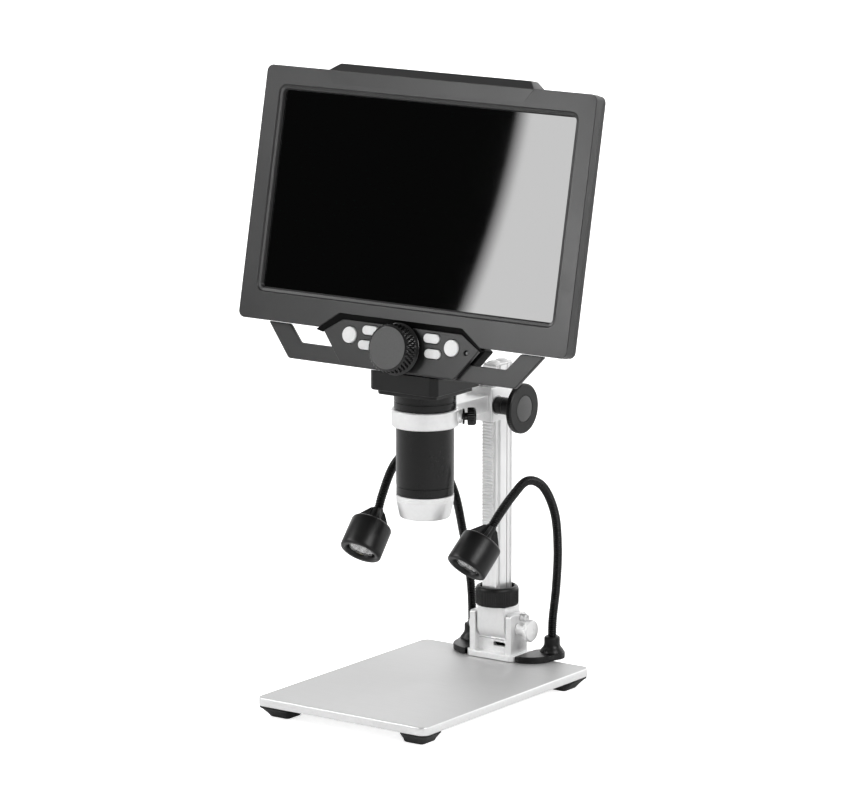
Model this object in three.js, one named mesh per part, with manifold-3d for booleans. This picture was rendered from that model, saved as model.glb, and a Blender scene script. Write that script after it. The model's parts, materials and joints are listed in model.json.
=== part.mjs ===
// Digital inspection microscope with a nine inch screen, on a tilting rack stand with two gooseneck lamps.
// Millimetres. +X is the user's right, +Y is away from the user, +Z is up.
// The model is drawn with the optical axis at x = y = 0 and the feet on z = 0,
// and the finished group is moved so that its origin is the middle of its box's underside.
import * as THREE from "three";
import { mergeVertices } from "three/addons/utils/BufferGeometryUtils.js";
import Module from "manifold-3d";

const wasm = await Module();
wasm.setup();

// ---- Driving dimensions ----
const GAP = 0.3; // clearance between pieces that touch
const BASE = { width: 118, depth: 166, thick: 5.3, corner: 5, footHeight: 6.3, footSide: 19 };
const STAGE_Z = BASE.footHeight + BASE.thick;
const BRACKET = { inner: 21.4, ear: 4, front: 65.4, rear: 82.6, earTop: 39.1, floor: 3.6, flange: 17.3 };
const PIVOT = { y: 73, z: 30.2, boltRadius: 2.5 }; // tilt axis of the column
const STOP_SCREW = { y: 76.4, z: 36.6, radius: 2.4 };
const COLUMN = { width: 10, front: 64, depth: 17, bottom: 43.6, top: 186.5 };
const COLUMN_Y = COLUMN.front + COLUMN.depth / 2;
const PINION = { y: 58.4, z: 165.4, teeth: 12, pitchRadius: 3.6 };
const PITCH = (2 * Math.PI * PINION.pitchRadius) / PINION.teeth;
const RACK = { teeth: 56, width: 7, bottom: PINION.z - 46 * PITCH, tooth: 1.2, back: 1 };
const CARRIAGE = { half: 9.6, front: 52.6, bottom: 156, top: 176 };
const FOCUS_KNOB = { radius: 14.2, hub: 5, inner: 15, face: 24.6, thick: 4 };
const BARREL = { radius: 16.6, neck: 17.8, bottom: 122.8, top: 181.2, bore: 12.8 };
const RING = { bottom: 162.3, top: 172.3, outer: 19.2 };
const THUMB_ANGLE = THREE.MathUtils.degToRad(36);
const THUMB_Z = (RING.bottom + RING.top) / 2;
const TIP = { bottom: 109.3, radius: 14.6, hole: 7.5 };
const SCREEN = { y: -11.1, z: 288.4, tiltDeg: 11.8 }; // middle of the screen's front, and its tilt back
const BEZEL = {
  width: 227, height: 146, depth: 6, corner: 4, windowWidth: 199.5, windowHeight: 112.6, windowUp: 2.7,
};
const COVER = { side: 10.1, back: 22, inset: 11, wall: 2 };
const PANEL = {
  front: 2.5, thick: 2.7, tip: 53.8, tipUp: -74.6, topHalf: 41.2, top: -66.8, lowHalf: 39.3, low: -92.3,
};
const HOUSING = { front: 8.4, back: 18 };
const WHEEL = { up: -79.5, faceRadius: 12.5, rimRadius: 14.2, flangeRadius: 15, height: 12 };
const LAMP = {
  x: 28.5, y: 88, socketTop: 24.8, neckRadius: 2.5, headRadius: 11.7, headLength: 20, lens: 8.2, capLength: 9,
};

const COLOURS = {
  brushedAluminium: { color: 0xc9c9cb, roughness: 0.42, metalness: 0.9 },
  silver: { color: 0xe2e2e4, roughness: 0.3, metalness: 0.9 },
  screwSteel: { color: 0xb8b8ba, roughness: 0.35, metalness: 1 },
  rubber: { color: 0x141416, roughness: 0.8, metalness: 0 },
  blackPlastic: { color: 0x1b1b1f, roughness: 0.5, metalness: 0 },
  greyPlastic: { color: 0x454548, roughness: 0.55, metalness: 0 },
  glossBlack: { color: 0x060607, roughness: 0.08, metalness: 0 },
  whitePlastic: { color: 0xf2f2f4, roughness: 0.4, metalness: 0 },
  clearLens: { color: 0xe8eef2, roughness: 0.05, metalness: 0 },
  board: { color: 0x1e5b3a, roughness: 0.6, metalness: 0.1 },
};

// ---- Shape helpers ----
function solidOf(geometry) {
  const bare = geometry.index ? geometry.toNonIndexed() : geometry.clone();
  for (const name of Object.keys(bare.attributes)) {
    if (name !== "position") bare.deleteAttribute(name);
  }
  const merged = mergeVertices(bare, 1e-4);
  return new wasm.Manifold(
    new wasm.Mesh({
      numProp: 3,
      vertProperties: merged.attributes.position.array,
      triVerts: new Uint32Array(merged.index.array),
    }),
  );
}

function geometryOf(solid) {
  const mesh = solid.getMesh();
  const geometry = new THREE.BufferGeometry();
  geometry.setAttribute("position", new THREE.BufferAttribute(mesh.vertProperties, 3));
  geometry.setIndex(new THREE.BufferAttribute(mesh.triVerts, 1));
  return geometry;
}

function join(first, ...others) {
  return geometryOf(others.reduce((sum, g) => sum.add(solidOf(g)), solidOf(first)));
}

function cut(first, ...tools) {
  return geometryOf(tools.reduce((left, g) => left.subtract(solidOf(g)), solidOf(first)));
}

function common(first, second) {
  return geometryOf(solidOf(first).intersect(solidOf(second)));
}

function box(x0, x1, y0, y1, z0, z1) {
  const geometry = new THREE.BoxGeometry(x1 - x0, y1 - y0, z1 - z0);
  return geometry.translate((x0 + x1) / 2, (y0 + y1) / 2, (z0 + z1) / 2);
}

// A turned piece: [radius, z] pairs from the lower end of the axis outwards and up.
function turned(profile, segments = 32) {
  const points = profile.map(([radius, z]) => new THREE.Vector2(radius, z));
  return new THREE.LatheGeometry(points, segments).rotateX(Math.PI / 2);
}

function disc(radius, z0, z1, segments = 32) {
  return turned([[0, z0], [radius, z0], [radius, z1], [0, z1]], segments);
}

function tube(outer, inner, z0, z1, segments = 40) {
  return turned([[inner, z0], [outer, z0], [outer, z1], [inner, z1], [inner, z0]], segments);
}

// Turns a piece made along +Z so that it lies along +X or +Y.
const alongX = (geometry) => geometry.rotateY(Math.PI / 2);
const alongY = (geometry) => geometry.rotateX(-Math.PI / 2);

function outline(points) {
  return new THREE.Shape(points.map(([a, b]) => new THREE.Vector2(a, b)));
}

function roundedRectangle(width, height, radius, up = 0) {
  const shape = new THREE.Shape();
  const a = width / 2 - radius;
  const b = height / 2 - radius;
  shape.absarc(a, up + b, radius, 0, Math.PI / 2);
  shape.absarc(-a, up + b, radius, Math.PI / 2, Math.PI);
  shape.absarc(-a, up - b, radius, Math.PI, 1.5 * Math.PI);
  shape.absarc(a, up - b, radius, 1.5 * Math.PI, 2 * Math.PI);
  shape.closePath();
  return shape;
}

// A plan outline (x, y) raised from z0 to z1.
function raised(shape, z0, z1, curveSegments = 6) {
  return new THREE.ExtrudeGeometry(shape, { depth: z1 - z0, bevelEnabled: false, curveSegments })
    .translate(0, 0, z0);
}

// A front outline (x, up) pushed from depth0 back to depth1 along +Y.
function pushed(shape, depth0, depth1, curveSegments = 6) {
  return new THREE.ExtrudeGeometry(shape, { depth: depth1 - depth0, bevelEnabled: false, curveSegments })
    .rotateX(Math.PI / 2)
    .translate(0, depth1, 0);
}

// A side outline (y, z) spread from x0 to x1.
function spread(shape, x0, x1, curveSegments = 8) {
  const sideways = new THREE.Matrix4().makeBasis(
    new THREE.Vector3(0, 1, 0),
    new THREE.Vector3(0, 0, 1),
    new THREE.Vector3(1, 0, 0),
  );
  return new THREE.ExtrudeGeometry(shape, { depth: x1 - x0, bevelEnabled: false, curveSegments })
    .applyMatrix4(sideways)
    .translate(x0, 0, 0);
}

function named(name, geometry, colour) {
  const mesh = new THREE.Mesh(geometry, new THREE.MeshStandardMaterial(COLOURS[colour]));
  mesh.name = name;
  return mesh;
}

// ---- Base ----
function basePlate() {
  const plate = raised(
    roundedRectangle(BASE.width, BASE.depth, BASE.corner),
    BASE.footHeight + GAP,
    STAGE_Z,
  );
  const wells = [-1, 1].map((side) => disc(3.4, 0, BASE.footHeight + 3.2, 20).translate(side * 7, 74, 0));
  const shankHoles = [-1, 1].map((side) => disc(1.8, 0, 20, 16).translate(side * 7, 74, 0));
  return cut(plate, ...wells, ...shankHoles);
}

// A square rubber foot that follows the plate's corner, tapering inwards to the floor.
function cornerFoot(sideX, sideY) {
  const taper = 5;
  const steps = [[0, BASE.footSide - taper, taper], [BASE.footHeight, BASE.footSide, 0.6]];
  const corners = [];
  for (const [z, size, inset] of steps) {
    const shape = [[inset, inset + 3], [inset + 3, inset], [size, inset], [size, size], [inset, size]];
    corners.push(shape.map(([a, b]) => [a, b, z]));
  }
  const at = ([a, b, z]) => [sideX * (BASE.width / 2 - a), sideY * (BASE.depth / 2 - b), z];
  return loft(corners.map((ring) => ring.map(at)), sideX * sideY < 0);
}

// A closed solid between two outlines with the same number of corners.
function loft([low, high], flip) {
  const faces = [];
  const count = low.length;
  for (let i = 1; i < count - 1; i++) {
    faces.push([low[0], low[i + 1], low[i]], [high[0], high[i], high[i + 1]]);
  }
  for (let i = 0; i < count; i++) {
    const next = (i + 1) % count;
    faces.push([low[i], low[next], high[next]], [low[i], high[next], high[i]]);
  }
  const ordered = flip ? faces.map((face) => [...face].reverse()) : faces;
  const geometry = new THREE.BufferGeometry();
  geometry.setAttribute("position", new THREE.Float32BufferAttribute(ordered.flat(2), 3));
  return geometry;
}

// U-shaped bracket on the rear of the plate: a flange, two ears and a slotted cross wall.
function bracket() {
  const inner = BRACKET.inner / 2;
  const outer = inner + BRACKET.ear;
  const floor = STAGE_Z + GAP;
  const half = BRACKET.flange;
  const flange = box(-half, half, BRACKET.front - 1.6, BRACKET.rear, floor, floor + BRACKET.floor);
  const ears = [-1, 1].map((side) => {
    const x0 = Math.min(side * inner, side * outer);
    return box(x0, x0 + BRACKET.ear, BRACKET.front, BRACKET.rear, floor, BRACKET.earTop);
  });
  const wall = box(-outer, outer, BRACKET.front + 4, BRACKET.front + 7, floor, PIVOT.z - 7.7);
  const slot = box(-0.6, 8, 60, 90, 18.8, 21.2);
  const bore = alongX(disc(PIVOT.boltRadius + 0.2, -20, 20, 20)).translate(0, PIVOT.y, PIVOT.z);
  const wells = [-1, 1].map((side) => disc(1.5, 8, 14.4, 16).translate(side * 7, 74, 0));
  const stopHole = alongX(disc(1.3, 14, 20, 12)).translate(0, STOP_SCREW.y, STOP_SCREW.z);
  return cut(join(flange, ...ears, wall), slot, bore, ...wells, stopHole);
}

// Countersunk screw that holds the bracket from under the plate.
function bracketScrew(side) {
  const head = BASE.footHeight + 0.6;
  return turned([[0, head], [3, head], [3, head + 2], [1.3, head + 2.3], [1.3, 14.2], [0, 14.2]], 20)
    .translate(side * 7, 74, 0);
}

function stopScrew() {
  const outer = BRACKET.inner / 2 + BRACKET.ear;
  const { y, z, radius } = STOP_SCREW;
  const profile = [
    [0, outer - 0.2], [1.1, outer - 0.2], [1.1, outer + GAP], [radius, outer + GAP],
    [radius, outer + 4.6], [0, outer + 4.6],
  ];
  return alongX(turned(profile, 20)).translate(0, y, z);
}

// Moulded lamp foot: a tongue beside the bracket, a round lobe behind it and a flared socket.
function lampFoot(side) {
  const floor = STAGE_Z + GAP;
  const lobe = new THREE.Shape();
  lobe.moveTo(17.8, 65.2);
  lobe.lineTo(20, 65.2);
  lobe.bezierCurveTo(27, 67, 33.4, 72, 34, 80);
  lobe.absarc(LAMP.x, LAMP.y, 7.6, -0.5, 2.5);
  lobe.lineTo(17.8, 86);
  lobe.closePath();
  const plate = raised(lobe, floor, floor + 3.6, 10);
  const { socketTop: top } = LAMP;
  const flare = turned([
    [0, 12.2], [7, 12.2], [7, 16.2], [5.4, 18.6], [4.7, 19.4], [4.7, top - 0.6], [4.1, top], [0, top],
  ], 28)
    .translate(LAMP.x, LAMP.y, 0);
  const hole = disc(LAMP.neckRadius + GAP, 20, 30, 16).translate(LAMP.x, LAMP.y, 0);
  const foot = cut(join(plate, flare), hole);
  return side > 0 ? foot : mirrored(foot);
}

// The same piece on the other side of the x = 0 plane, with its faces turned out again.
function mirrored(geometry) {
  const copy = geometry.clone().scale(-1, 1, 1);
  const order = copy.index.array;
  for (let i = 0; i < order.length; i += 3) {
    [order[i + 1], order[i + 2]] = [order[i + 2], order[i + 1]];
  }
  return copy;
}

// ---- Tilting column ----
function tiltBlock() {
  const side = new THREE.Shape();
  const top = COLUMN.bottom - GAP;
  side.moveTo(BRACKET.rear - 0.4, top);
  side.lineTo(BRACKET.front + 0.4, top);
  side.lineTo(BRACKET.front + 0.4, PIVOT.z);
  side.absarc(PIVOT.y, PIVOT.z, PIVOT.y - BRACKET.front - 0.4, Math.PI, 2 * Math.PI);
  side.lineTo(BRACKET.rear - 0.4, PIVOT.z + 6);
  side.closePath();
  const half = BRACKET.inner / 2 - 0.9;
  const bore = alongX(disc(PIVOT.boltRadius + 0.2, -20, 20, 20)).translate(0, PIVOT.y, PIVOT.z);
  return cut(spread(side, -half, half), bore);
}

function collar() {
  const bottom = COLUMN.bottom;
  const top = bottom + 11.2;
  const profile = [
    [10.1, bottom], [12.4, bottom], [12.6, bottom + 1], [12.6, top - 1.4], [11.3, top], [10.1, top],
    [10.1, bottom],
  ];
  return turned(profile, 32).translate(0, COLUMN_Y, 0);
}

// Extruded column with a groove down each side.
function column() {
  const { width, front, depth } = COLUMN;
  const half = width / 2;
  const rear = front + depth;
  const side = (sign) => [
    [sign * half, rear - 1.4], [sign * (half - 1.2), rear - 1.4], [sign * (half - 1.2), rear - 3.4],
    [sign * half, rear - 3.4], [sign * half, front + 4.4], [sign * (half - 1.8), front + 4.4],
    [sign * (half - 1.8), front + 1.1], [sign * half, front + 1.1],
  ];
  const right = side(1);
  const left = side(-1).reverse();
  const shape = outline([
    [half, rear], ...right, [half, front], [-half, front], ...left, [-half, rear],
  ]);
  return raised(shape, COLUMN.bottom + GAP, COLUMN.top);
}

// Rack strip with trapezoid teeth on the column's front face.
function rack() {
  const root = COLUMN.front - GAP - RACK.back;
  const points = [[COLUMN.front - GAP, RACK.bottom]];
  for (let i = 0; i < RACK.teeth; i++) {
    const z = RACK.bottom + i * PITCH;
    points.push([root, z], [root, z + 0.36], [root - RACK.tooth, z + 0.76]);
    points.push([root - RACK.tooth, z + 1.12], [root, z + 1.52]);
  }
  const top = RACK.bottom + RACK.teeth * PITCH;
  points.push([root, top], [COLUMN.front - GAP, top]);
  return spread(outline(points.reverse()), -RACK.width / 2, RACK.width / 2);
}

function columnCap() {
  const z = COLUMN.top + GAP;
  return raised(roundedRectangle(COLUMN.width, COLUMN.depth, 3), z, z + 2)
    .translate(0, COLUMN_Y, 0);
}

function tiltKnob() {
  const outer = BRACKET.inner / 2 + BRACKET.ear;
  const r = PIVOT.boltRadius;
  const profile = [
    [0, -outer - 3], [4.4, -outer - 3], [4.4, -outer - GAP], [r, -outer - GAP], [r, outer + GAP],
    [3.7, outer + GAP], [3.7, outer + 6.8], [6.4, outer + 7.2], [6.4, outer + 9.6], [5.6, outer + 10.2],
    [0, outer + 10.2],
  ];
  return alongX(turned(profile, 28)).translate(0, PIVOT.y, PIVOT.z);
}

// ---- Carriage and fine focus ----
function carriage() {
  const body = box(-CARRIAGE.half, CARRIAGE.half, CARRIAGE.front, 83.6, CARRIAGE.bottom, CARRIAGE.top);
  const channel = box(
    -COLUMN.width / 2 - GAP, COLUMN.width / 2 + GAP, 61, COLUMN.front + COLUMN.depth + GAP,
    CARRIAGE.bottom - 1, CARRIAGE.top + 1,
  );
  const shaft = alongX(disc(2.2, -30, 30, 20)).translate(0, PINION.y, PINION.z);
  const gearRoom = alongX(disc(5, -5, 5, 28)).translate(0, PINION.y, PINION.z);
  return cut(body, channel, shaft, gearRoom);
}

// Split clamp ring round the barrel, with the arm that joins it to the carriage.
function ringArm() {
  const ring = tube(RING.outer, BARREL.radius + GAP, RING.bottom, RING.top, 40);
  const arm = box(-7.6, 7.6, 17.6, CARRIAGE.front - GAP, RING.bottom, RING.top - 0.4);
  const boss = alongX(disc(4, 17.8, 21, 20)).rotateZ(THUMB_ANGLE).translate(0, 0, THUMB_Z);
  const screwWay = alongX(disc(1.9, 10, 26, 16)).rotateZ(THUMB_ANGLE).translate(0, 0, THUMB_Z);
  return cut(join(ring, arm, boss), screwWay, disc(BARREL.radius + GAP, 100, 200, 40));
}

function thumbscrew() {
  const profile = [
    [0, 17.2], [1.6, 17.2], [1.6, 21.2], [4.6, 21.2], [4.6, 22.4], [2.2, 22.6], [2.2, 24],
    [5, 24.2], [5, 28.6], [4.4, 29.2], [0, 29.2],
  ];
  return alongX(turned(profile, 24)).rotateZ(THUMB_ANGLE).translate(0, 0, THUMB_Z);
}

// Pinion gear with its cross shaft.
function pinionShaft() {
  const points = [];
  const step = (2 * Math.PI) / PINION.teeth;
  const corners = [[-0.32, 2.85], [-0.13, 4.15], [0.13, 4.15], [0.32, 2.85]];
  for (let i = 0; i < PINION.teeth; i++) {
    for (const [turn, radius] of corners) {
      const angle = (i + turn) * step;
      points.push([radius * Math.cos(angle), radius * Math.sin(angle)]);
    }
  }
  const gear = alongX(raised(outline(points), -4, 4));
  return join(gear, alongX(disc(1.9, -20.4, 20.4, 20))).translate(0, PINION.y, PINION.z);
}

function focusKnob(side) {
  const { radius, hub, face, thick } = FOCUS_KNOB;
  const start = CARRIAGE.half + GAP;
  const profile = [
    [2.2, start], [hub, start], [hub, face], [radius - 0.6, face], [radius, face + 0.6],
    [radius, face + thick - 0.6], [radius - 0.8, face + thick], [7.6, face + thick],
    [7.6, face + thick - 0.5],
    [0, face + thick - 0.5], [0, 20.7], [2.2, 20.7], [2.2, start],
  ];
  const knob = alongX(turned(profile, 36));
  return (side > 0 ? knob : knob.rotateZ(Math.PI)).translate(0, PINION.y, PINION.z);
}

// ---- Optical head ----
function barrel() {
  const { radius, neck, bottom, top, bore } = BARREL;
  return turned([
    [bore, bottom], [radius - 0.2, bottom], [radius, bottom + 12], [radius, RING.top + GAP],
    [neck, RING.top + GAP], [neck, top], [bore, top], [bore, bottom],
  ], 40);
}

function tipRing() {
  const { bottom, radius, hole } = TIP;
  const top = BARREL.bottom - GAP;
  return turned([
    [hole, bottom], [radius - 0.8, bottom], [radius, bottom + 0.8], [BARREL.radius, top - 2.5],
    [BARREL.radius, top], [14.4, top], [14.4, bottom + 3], [hole, bottom + 3], [hole, bottom],
  ], 40);
}

const ledBoard = () => tube(14, 7.6, TIP.bottom + 6, TIP.bottom + 7.6, 32);

function objectiveLens() {
  const z = TIP.bottom + 3.6;
  return turned([[0, z], [6.4, z], [7.1, z + 1], [7.1, z + 3.5], [6, z + 4.4], [0, z + 5]], 32);
}

function lensCarrier() {
  return turned([[0, 142], [8, 142], [8, 140], [12.4, 140], [12.4, 158], [9, 158], [9, 146], [0, 147]], 32);
}

const squarePlate = (half, corner) => roundedRectangle(2 * half, 2 * half, corner);

function adapterFlange() {
  const plate = raised(squarePlate(20.4, 3.5), BARREL.top + GAP, BARREL.top + 2.8);
  return cut(plate, disc(11, 170, 200, 32));
}

// Camera housing: fills the space between the adapter flange and the back of the screen unit.
function cameraHousing() {
  const front = -23.6;
  const rear = 23.4;
  const bottom = BARREL.top + 3.1;
  const under = screenPoint(9, PANEL.low - 0.8);
  const corner = screenPoint(HOUSING.back + 0.6, PANEL.low - 0.8);
  const notchTop = screenPoint(HOUSING.back + 0.6, -BEZEL.height / 2 - 0.6);
  const slope = Math.tan(THREE.MathUtils.degToRad(SCREEN.tiltDeg));
  const topAt = (y) => notchTop[1] - (y - notchTop[0]) * slope;
  const underAt = (y) => under[1] - (y - under[0]) * slope;
  const side = outline([
    [front + 1.2, bottom], [rear - 1.2, bottom], [rear, bottom + 8], [rear, topAt(rear) - 4],
    [rear - 4, topAt(rear - 4)], notchTop, corner, [front, underAt(front)], [front, bottom + 6],
  ]);
  const body = spread(side, -23.5, 23.5);
  return cut(body, box(-15, 15, -15, 18, bottom - 1, bottom + 8));
}

const sensorBoard = () => box(-14, 14, -14, 14, BARREL.top + 7, BARREL.top + 8.6);

// Turns a depth and a height in the screen's own frame into the frame's y and z.
function screenPoint(depth, up) {
  const tilt = THREE.MathUtils.degToRad(SCREEN.tiltDeg);
  return [
    SCREEN.y + up * Math.sin(tilt) + depth * Math.cos(tilt),
    SCREEN.z + up * Math.cos(tilt) - depth * Math.sin(tilt),
  ];
}

// ---- Screen unit, drawn in its own frame: x across, y into the screen, z up the screen ----
function frontBezel() {
  const body = pushed(roundedRectangle(BEZEL.width, BEZEL.height, BEZEL.corner), 0, BEZEL.depth);
  const window = roundedRectangle(BEZEL.windowWidth, BEZEL.windowHeight, 2, BEZEL.windowUp);
  const seat = roundedRectangle(BEZEL.windowWidth + 6, BEZEL.windowHeight + 6, 2, BEZEL.windowUp);
  const bottom = -BEZEL.height / 2;
  const notch = outline([
    [-55.7, bottom - 1], [55.7, bottom - 1], [55.7, bottom], [42.2, -63.5], [-42.2, -63.5], [-55.7, bottom],
  ]);
  return cut(body, pushed(window, -1, 8), pushed(seat, 3, 8), pushed(notch, -1, 8));
}

const screenGlass = () =>
  pushed(roundedRectangle(BEZEL.windowWidth + 5, BEZEL.windowHeight + 5, 1.5, BEZEL.windowUp), 3.3, 4.6);

const lcdPanel = () =>
  pushed(roundedRectangle(BEZEL.windowWidth + 5, BEZEL.windowHeight + 5, 1.5, BEZEL.windowUp), 5, 9.2);

// Rear cover: a shallow tray with a tapered back and a raised ridge along its top edge.
function rearCover() {
  const { side, back, inset, wall } = COVER;
  const front = BEZEL.depth + GAP;
  const tray = pushed(roundedRectangle(BEZEL.width - 0.6, BEZEL.height - 0.6, BEZEL.corner), front, side);
  const [halfX, halfZ] = [BEZEL.width / 2, BEZEL.height / 2];
  const hump = loftBack(halfX - 2, halfZ - 2, side, halfX - inset, halfZ - inset, back);
  const ridge = loft([
    [[-71, front, 72], [71, front, 72], [65.5, front, 77.4], [-65.5, front, 77.4]],
    [[-62, 14, 71], [62, 14, 71], [58, 14, 75], [-58, 14, 75]],
  ], true);
  const screenRoom = pushed(roundedRectangle(BEZEL.width - 18, BEZEL.height - 22, 2, 1.6), front - 1, 10.8);
  const hollow = pushed(roundedRectangle(BEZEL.width - 30, BEZEL.height - 34, 2), front - 1, back - wall);
  const rearScoop = outline([[-60, -75], [60, -75], [60, -74.6 + 9], [-60, -74.6 + 9]]);
  return cut(join(tray, hump, ridge), screenRoom, hollow, pushed(rearScoop, front - 1, HOUSING.back + 0.6));
}

// A four-sided frustum from a rectangle at depth0 to a smaller one at depth1.
function loftBack(halfX0, halfZ0, depth0, halfX1, halfZ1, depth1) {
  const ring = (halfX, halfZ, depth) => [
    [-halfX, depth, -halfZ], [halfX, depth, -halfZ], [halfX, depth, halfZ], [-halfX, depth, halfZ],
  ];
  return loft([ring(halfX0, halfZ0, depth0 - 1), ring(halfX1, halfZ1, depth1)], true);
}

const mainBoard = () => box(-60, 60, 11, 12.6, -35, 45);
const battery = () => box(-48, 48, 13.4, 19.2, -30, 8);

function hexagon(inset = 0) {
  const { tip, tipUp, topHalf, top, lowHalf, low } = PANEL;
  return outline([
    [-lowHalf + inset * 0.6, low + inset], [lowHalf - inset * 0.6, low + inset], [tip - inset * 1.3, tipUp],
    [topHalf - inset * 0.6, top - inset], [-topHalf + inset * 0.6, top - inset], [-tip + inset * 1.3, tipUp],
  ]);
}

// Push buttons: [name, x, up, half length of the straight part, radius]
const BUTTONS = [
  ["button_left_round", -35.3, -75.2, 0, 4.7],
  ["button_left_upper", -21.2, -71.3, 2.7, 2.6],
  ["button_left_lower", -23, -79.8, 2.7, 2.6],
  ["button_right_upper", 21.2, -71.3, 2.7, 2.6],
  ["button_right_lower", 23, -79.8, 2.7, 2.6],
  ["button_right_round", 35.3, -75.2, 0, 4.7],
];

function slotShape(x, up, half, radius) {
  const shape = new THREE.Shape();
  shape.absarc(x + half, up, radius, -Math.PI / 2, Math.PI / 2);
  shape.absarc(x - half, up, radius, Math.PI / 2, 1.5 * Math.PI);
  shape.closePath();
  return shape;
}

function controlPanel() {
  const { front, thick } = PANEL;
  const plate = pushed(hexagon(), front, front + thick);
  const skirt = cut(
    pushed(hexagon(), front + thick - 0.2, HOUSING.front - GAP),
    pushed(hexagon(2), front, HOUSING.front + 1),
    box(-80, 80, 0, 20, -100, -82.8),
  );
  const holes = BUTTONS.map(([, x, up, half, radius]) => {
    return pushed(slotShape(x, up, half, radius + 0.35), 0, 20);
  });
  const wheelHole = alongY(disc(3.4, -5, 20, 24)).translate(0, 0, WHEEL.up);
  const lampHole = alongY(disc(1.5, -5, 20, 16)).translate(45.5, 0, -76.9);
  return cut(join(plate, skirt), ...holes, wheelHole, lampHole);
}

// Cup behind the control panel that carries the key board and the wheel's bearing.
function controlHousing() {
  const body = pushed(hexagon(), HOUSING.front, HOUSING.back);
  const hollow = pushed(hexagon(2.4), HOUSING.front - 1, HOUSING.back - 2.4);
  return cut(body, hollow);
}

const keyBoard = () => {
  const board = pushed(hexagon(3.4), 9, 10.4);
  return cut(board, alongY(disc(3.4, 0, 20, 24)).translate(0, 0, WHEEL.up));
};

// Handle frame: a bar under the control panel whose ends rise to the screen's lower corners.
function wingFrame() {
  const top = -BEZEL.height / 2 - GAP;
  const low = -93;
  const bar = -83.2;
  const shape = outline([
    [-95.4, top], [-78.5, low], [78.5, low], [95.4, top],
    [80, top], [71.2, bar], [-71.2, bar], [-80, top],
  ]);
  return pushed(shape, PANEL.front + PANEL.thick + GAP, HOUSING.front - GAP);
}

function button([, x, up, half, radius]) {
  return pushed(slotShape(x, up, half, radius), PANEL.front - 0.9, HOUSING.front - 0.9, 12);
}

const statusLamp = () => alongY(disc(1.2, PANEL.front + 0.8, 8.6, 16)).translate(45.5, 0, -76.9);

// Knurled focus wheel on its own shaft, standing out of the control panel.
function focusWheel() {
  const { up, faceRadius, rimRadius, flangeRadius, height } = WHEEL;
  const face = PANEL.front - height;
  const body = turned([
    [0, face], [faceRadius - 0.8, face], [faceRadius, face + 0.8], [faceRadius + 0.4, face + 2],
    [rimRadius, face + 2.4], [rimRadius, face + 9], [flangeRadius, face + 9.4],
    [flangeRadius, PANEL.front - 0.9], [3, PANEL.front - 0.9], [3, 14.8], [0, 14.8],
  ], 40);
  return alongY(body).translate(0, 0, up);
}

// ---- Gooseneck lamps ----
const NECKS = {
  left: {
    points: [
      [-28.5, 88, 21], [-28.6, 88, 33], [-30.5, 89, 50], [-34, 86, 80], [-36, 79.2, 106],
      [-38, 64, 128], [-38, 43, 138], [-37, 21.4, 131], [-35.3, 6.6, 115], [-34.7, 2.8, 108.7],
    ],
    aim: [0.033, -0.662, -0.747],
  },
  right: {
    points: [
      [28.5, 88, 21], [28.7, 88, 33], [31.5, 87.5, 55], [35.5, 83, 80], [38, 75.5, 103],
      [39.6, 60, 121.5], [40, 44, 126.8], [40.2, 29, 120.5], [39.7, 15, 110.8], [38.9, 10.9, 106.3],
    ],
    aim: [-0.146, -0.672, -0.726],
  },
};
const NECK_SPLIT = 0.075; // share of the neck's length that stays in the socket below the bend
const NECK_JOINT_GAP = 1.6;

function neckCurve(side) {
  const points = NECKS[side].points.map((point) => new THREE.Vector3(...point));
  return new THREE.CatmullRomCurve3(points, false, "centripetal");
}

// A stretch of the neck between two distances along it.
function neckStretch(side, from, to, steps) {
  const curve = neckCurve(side);
  const length = curve.getLength();
  const points = [];
  for (let i = 0; i <= steps; i++) {
    points.push(curve.getPointAt((from + ((to - from) * i) / steps) / length));
  }
  const section = new THREE.Shape();
  const sides = 8;
  for (let i = 0; i < sides; i++) {
    const angle = (2 * Math.PI * i) / sides;
    const x = LAMP.neckRadius * Math.cos(angle);
    const y = LAMP.neckRadius * Math.sin(angle);
    if (i === 0) section.moveTo(x, y);
    else section.lineTo(x, y);
  }
  section.closePath();
  return new THREE.ExtrudeGeometry(section, {
    steps,
    bevelEnabled: false,
    extrudePath: new THREE.CatmullRomCurve3(points, false, "centripetal"),
  });
}

function neckParts(side) {
  const length = neckCurve(side).getLength();
  const bend = length * NECK_SPLIT;
  return {
    root: neckStretch(side, 0, bend - NECK_JOINT_GAP / 2, 3),
    arm: neckStretch(side, bend + NECK_JOINT_GAP / 2, length - NECK_JOINT_GAP, 22),
  };
}

// Lamp pieces are turned along +Z, nose at z = 0, and then aimed.
function aimed(geometry, side) {
  const { points, aim } = NECKS[side];
  const end = new THREE.Vector3(...points[points.length - 1]);
  const direction = new THREE.Vector3(...aim).normalize();
  const nose = end.clone().addScaledVector(direction, LAMP.capLength + LAMP.headLength + 0.6);
  const backward = direction.clone().negate();
  const turn = new THREE.Quaternion().setFromUnitVectors(new THREE.Vector3(0, 0, 1), backward);
  return geometry.applyQuaternion(turn).translate(nose.x, nose.y, nose.z);
}

function lampHead(side) {
  const { headRadius: r, headLength: length, lens } = LAMP;
  return aimed(turned([
    [lens + 0.3, 0], [r - 0.6, 0], [r, 0.8], [r, length - 1.4], [r - 1, length], [0, length], [0, 7],
    [lens + 0.3, 7], [lens + 0.3, 0],
  ], 36), side);
}

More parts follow.
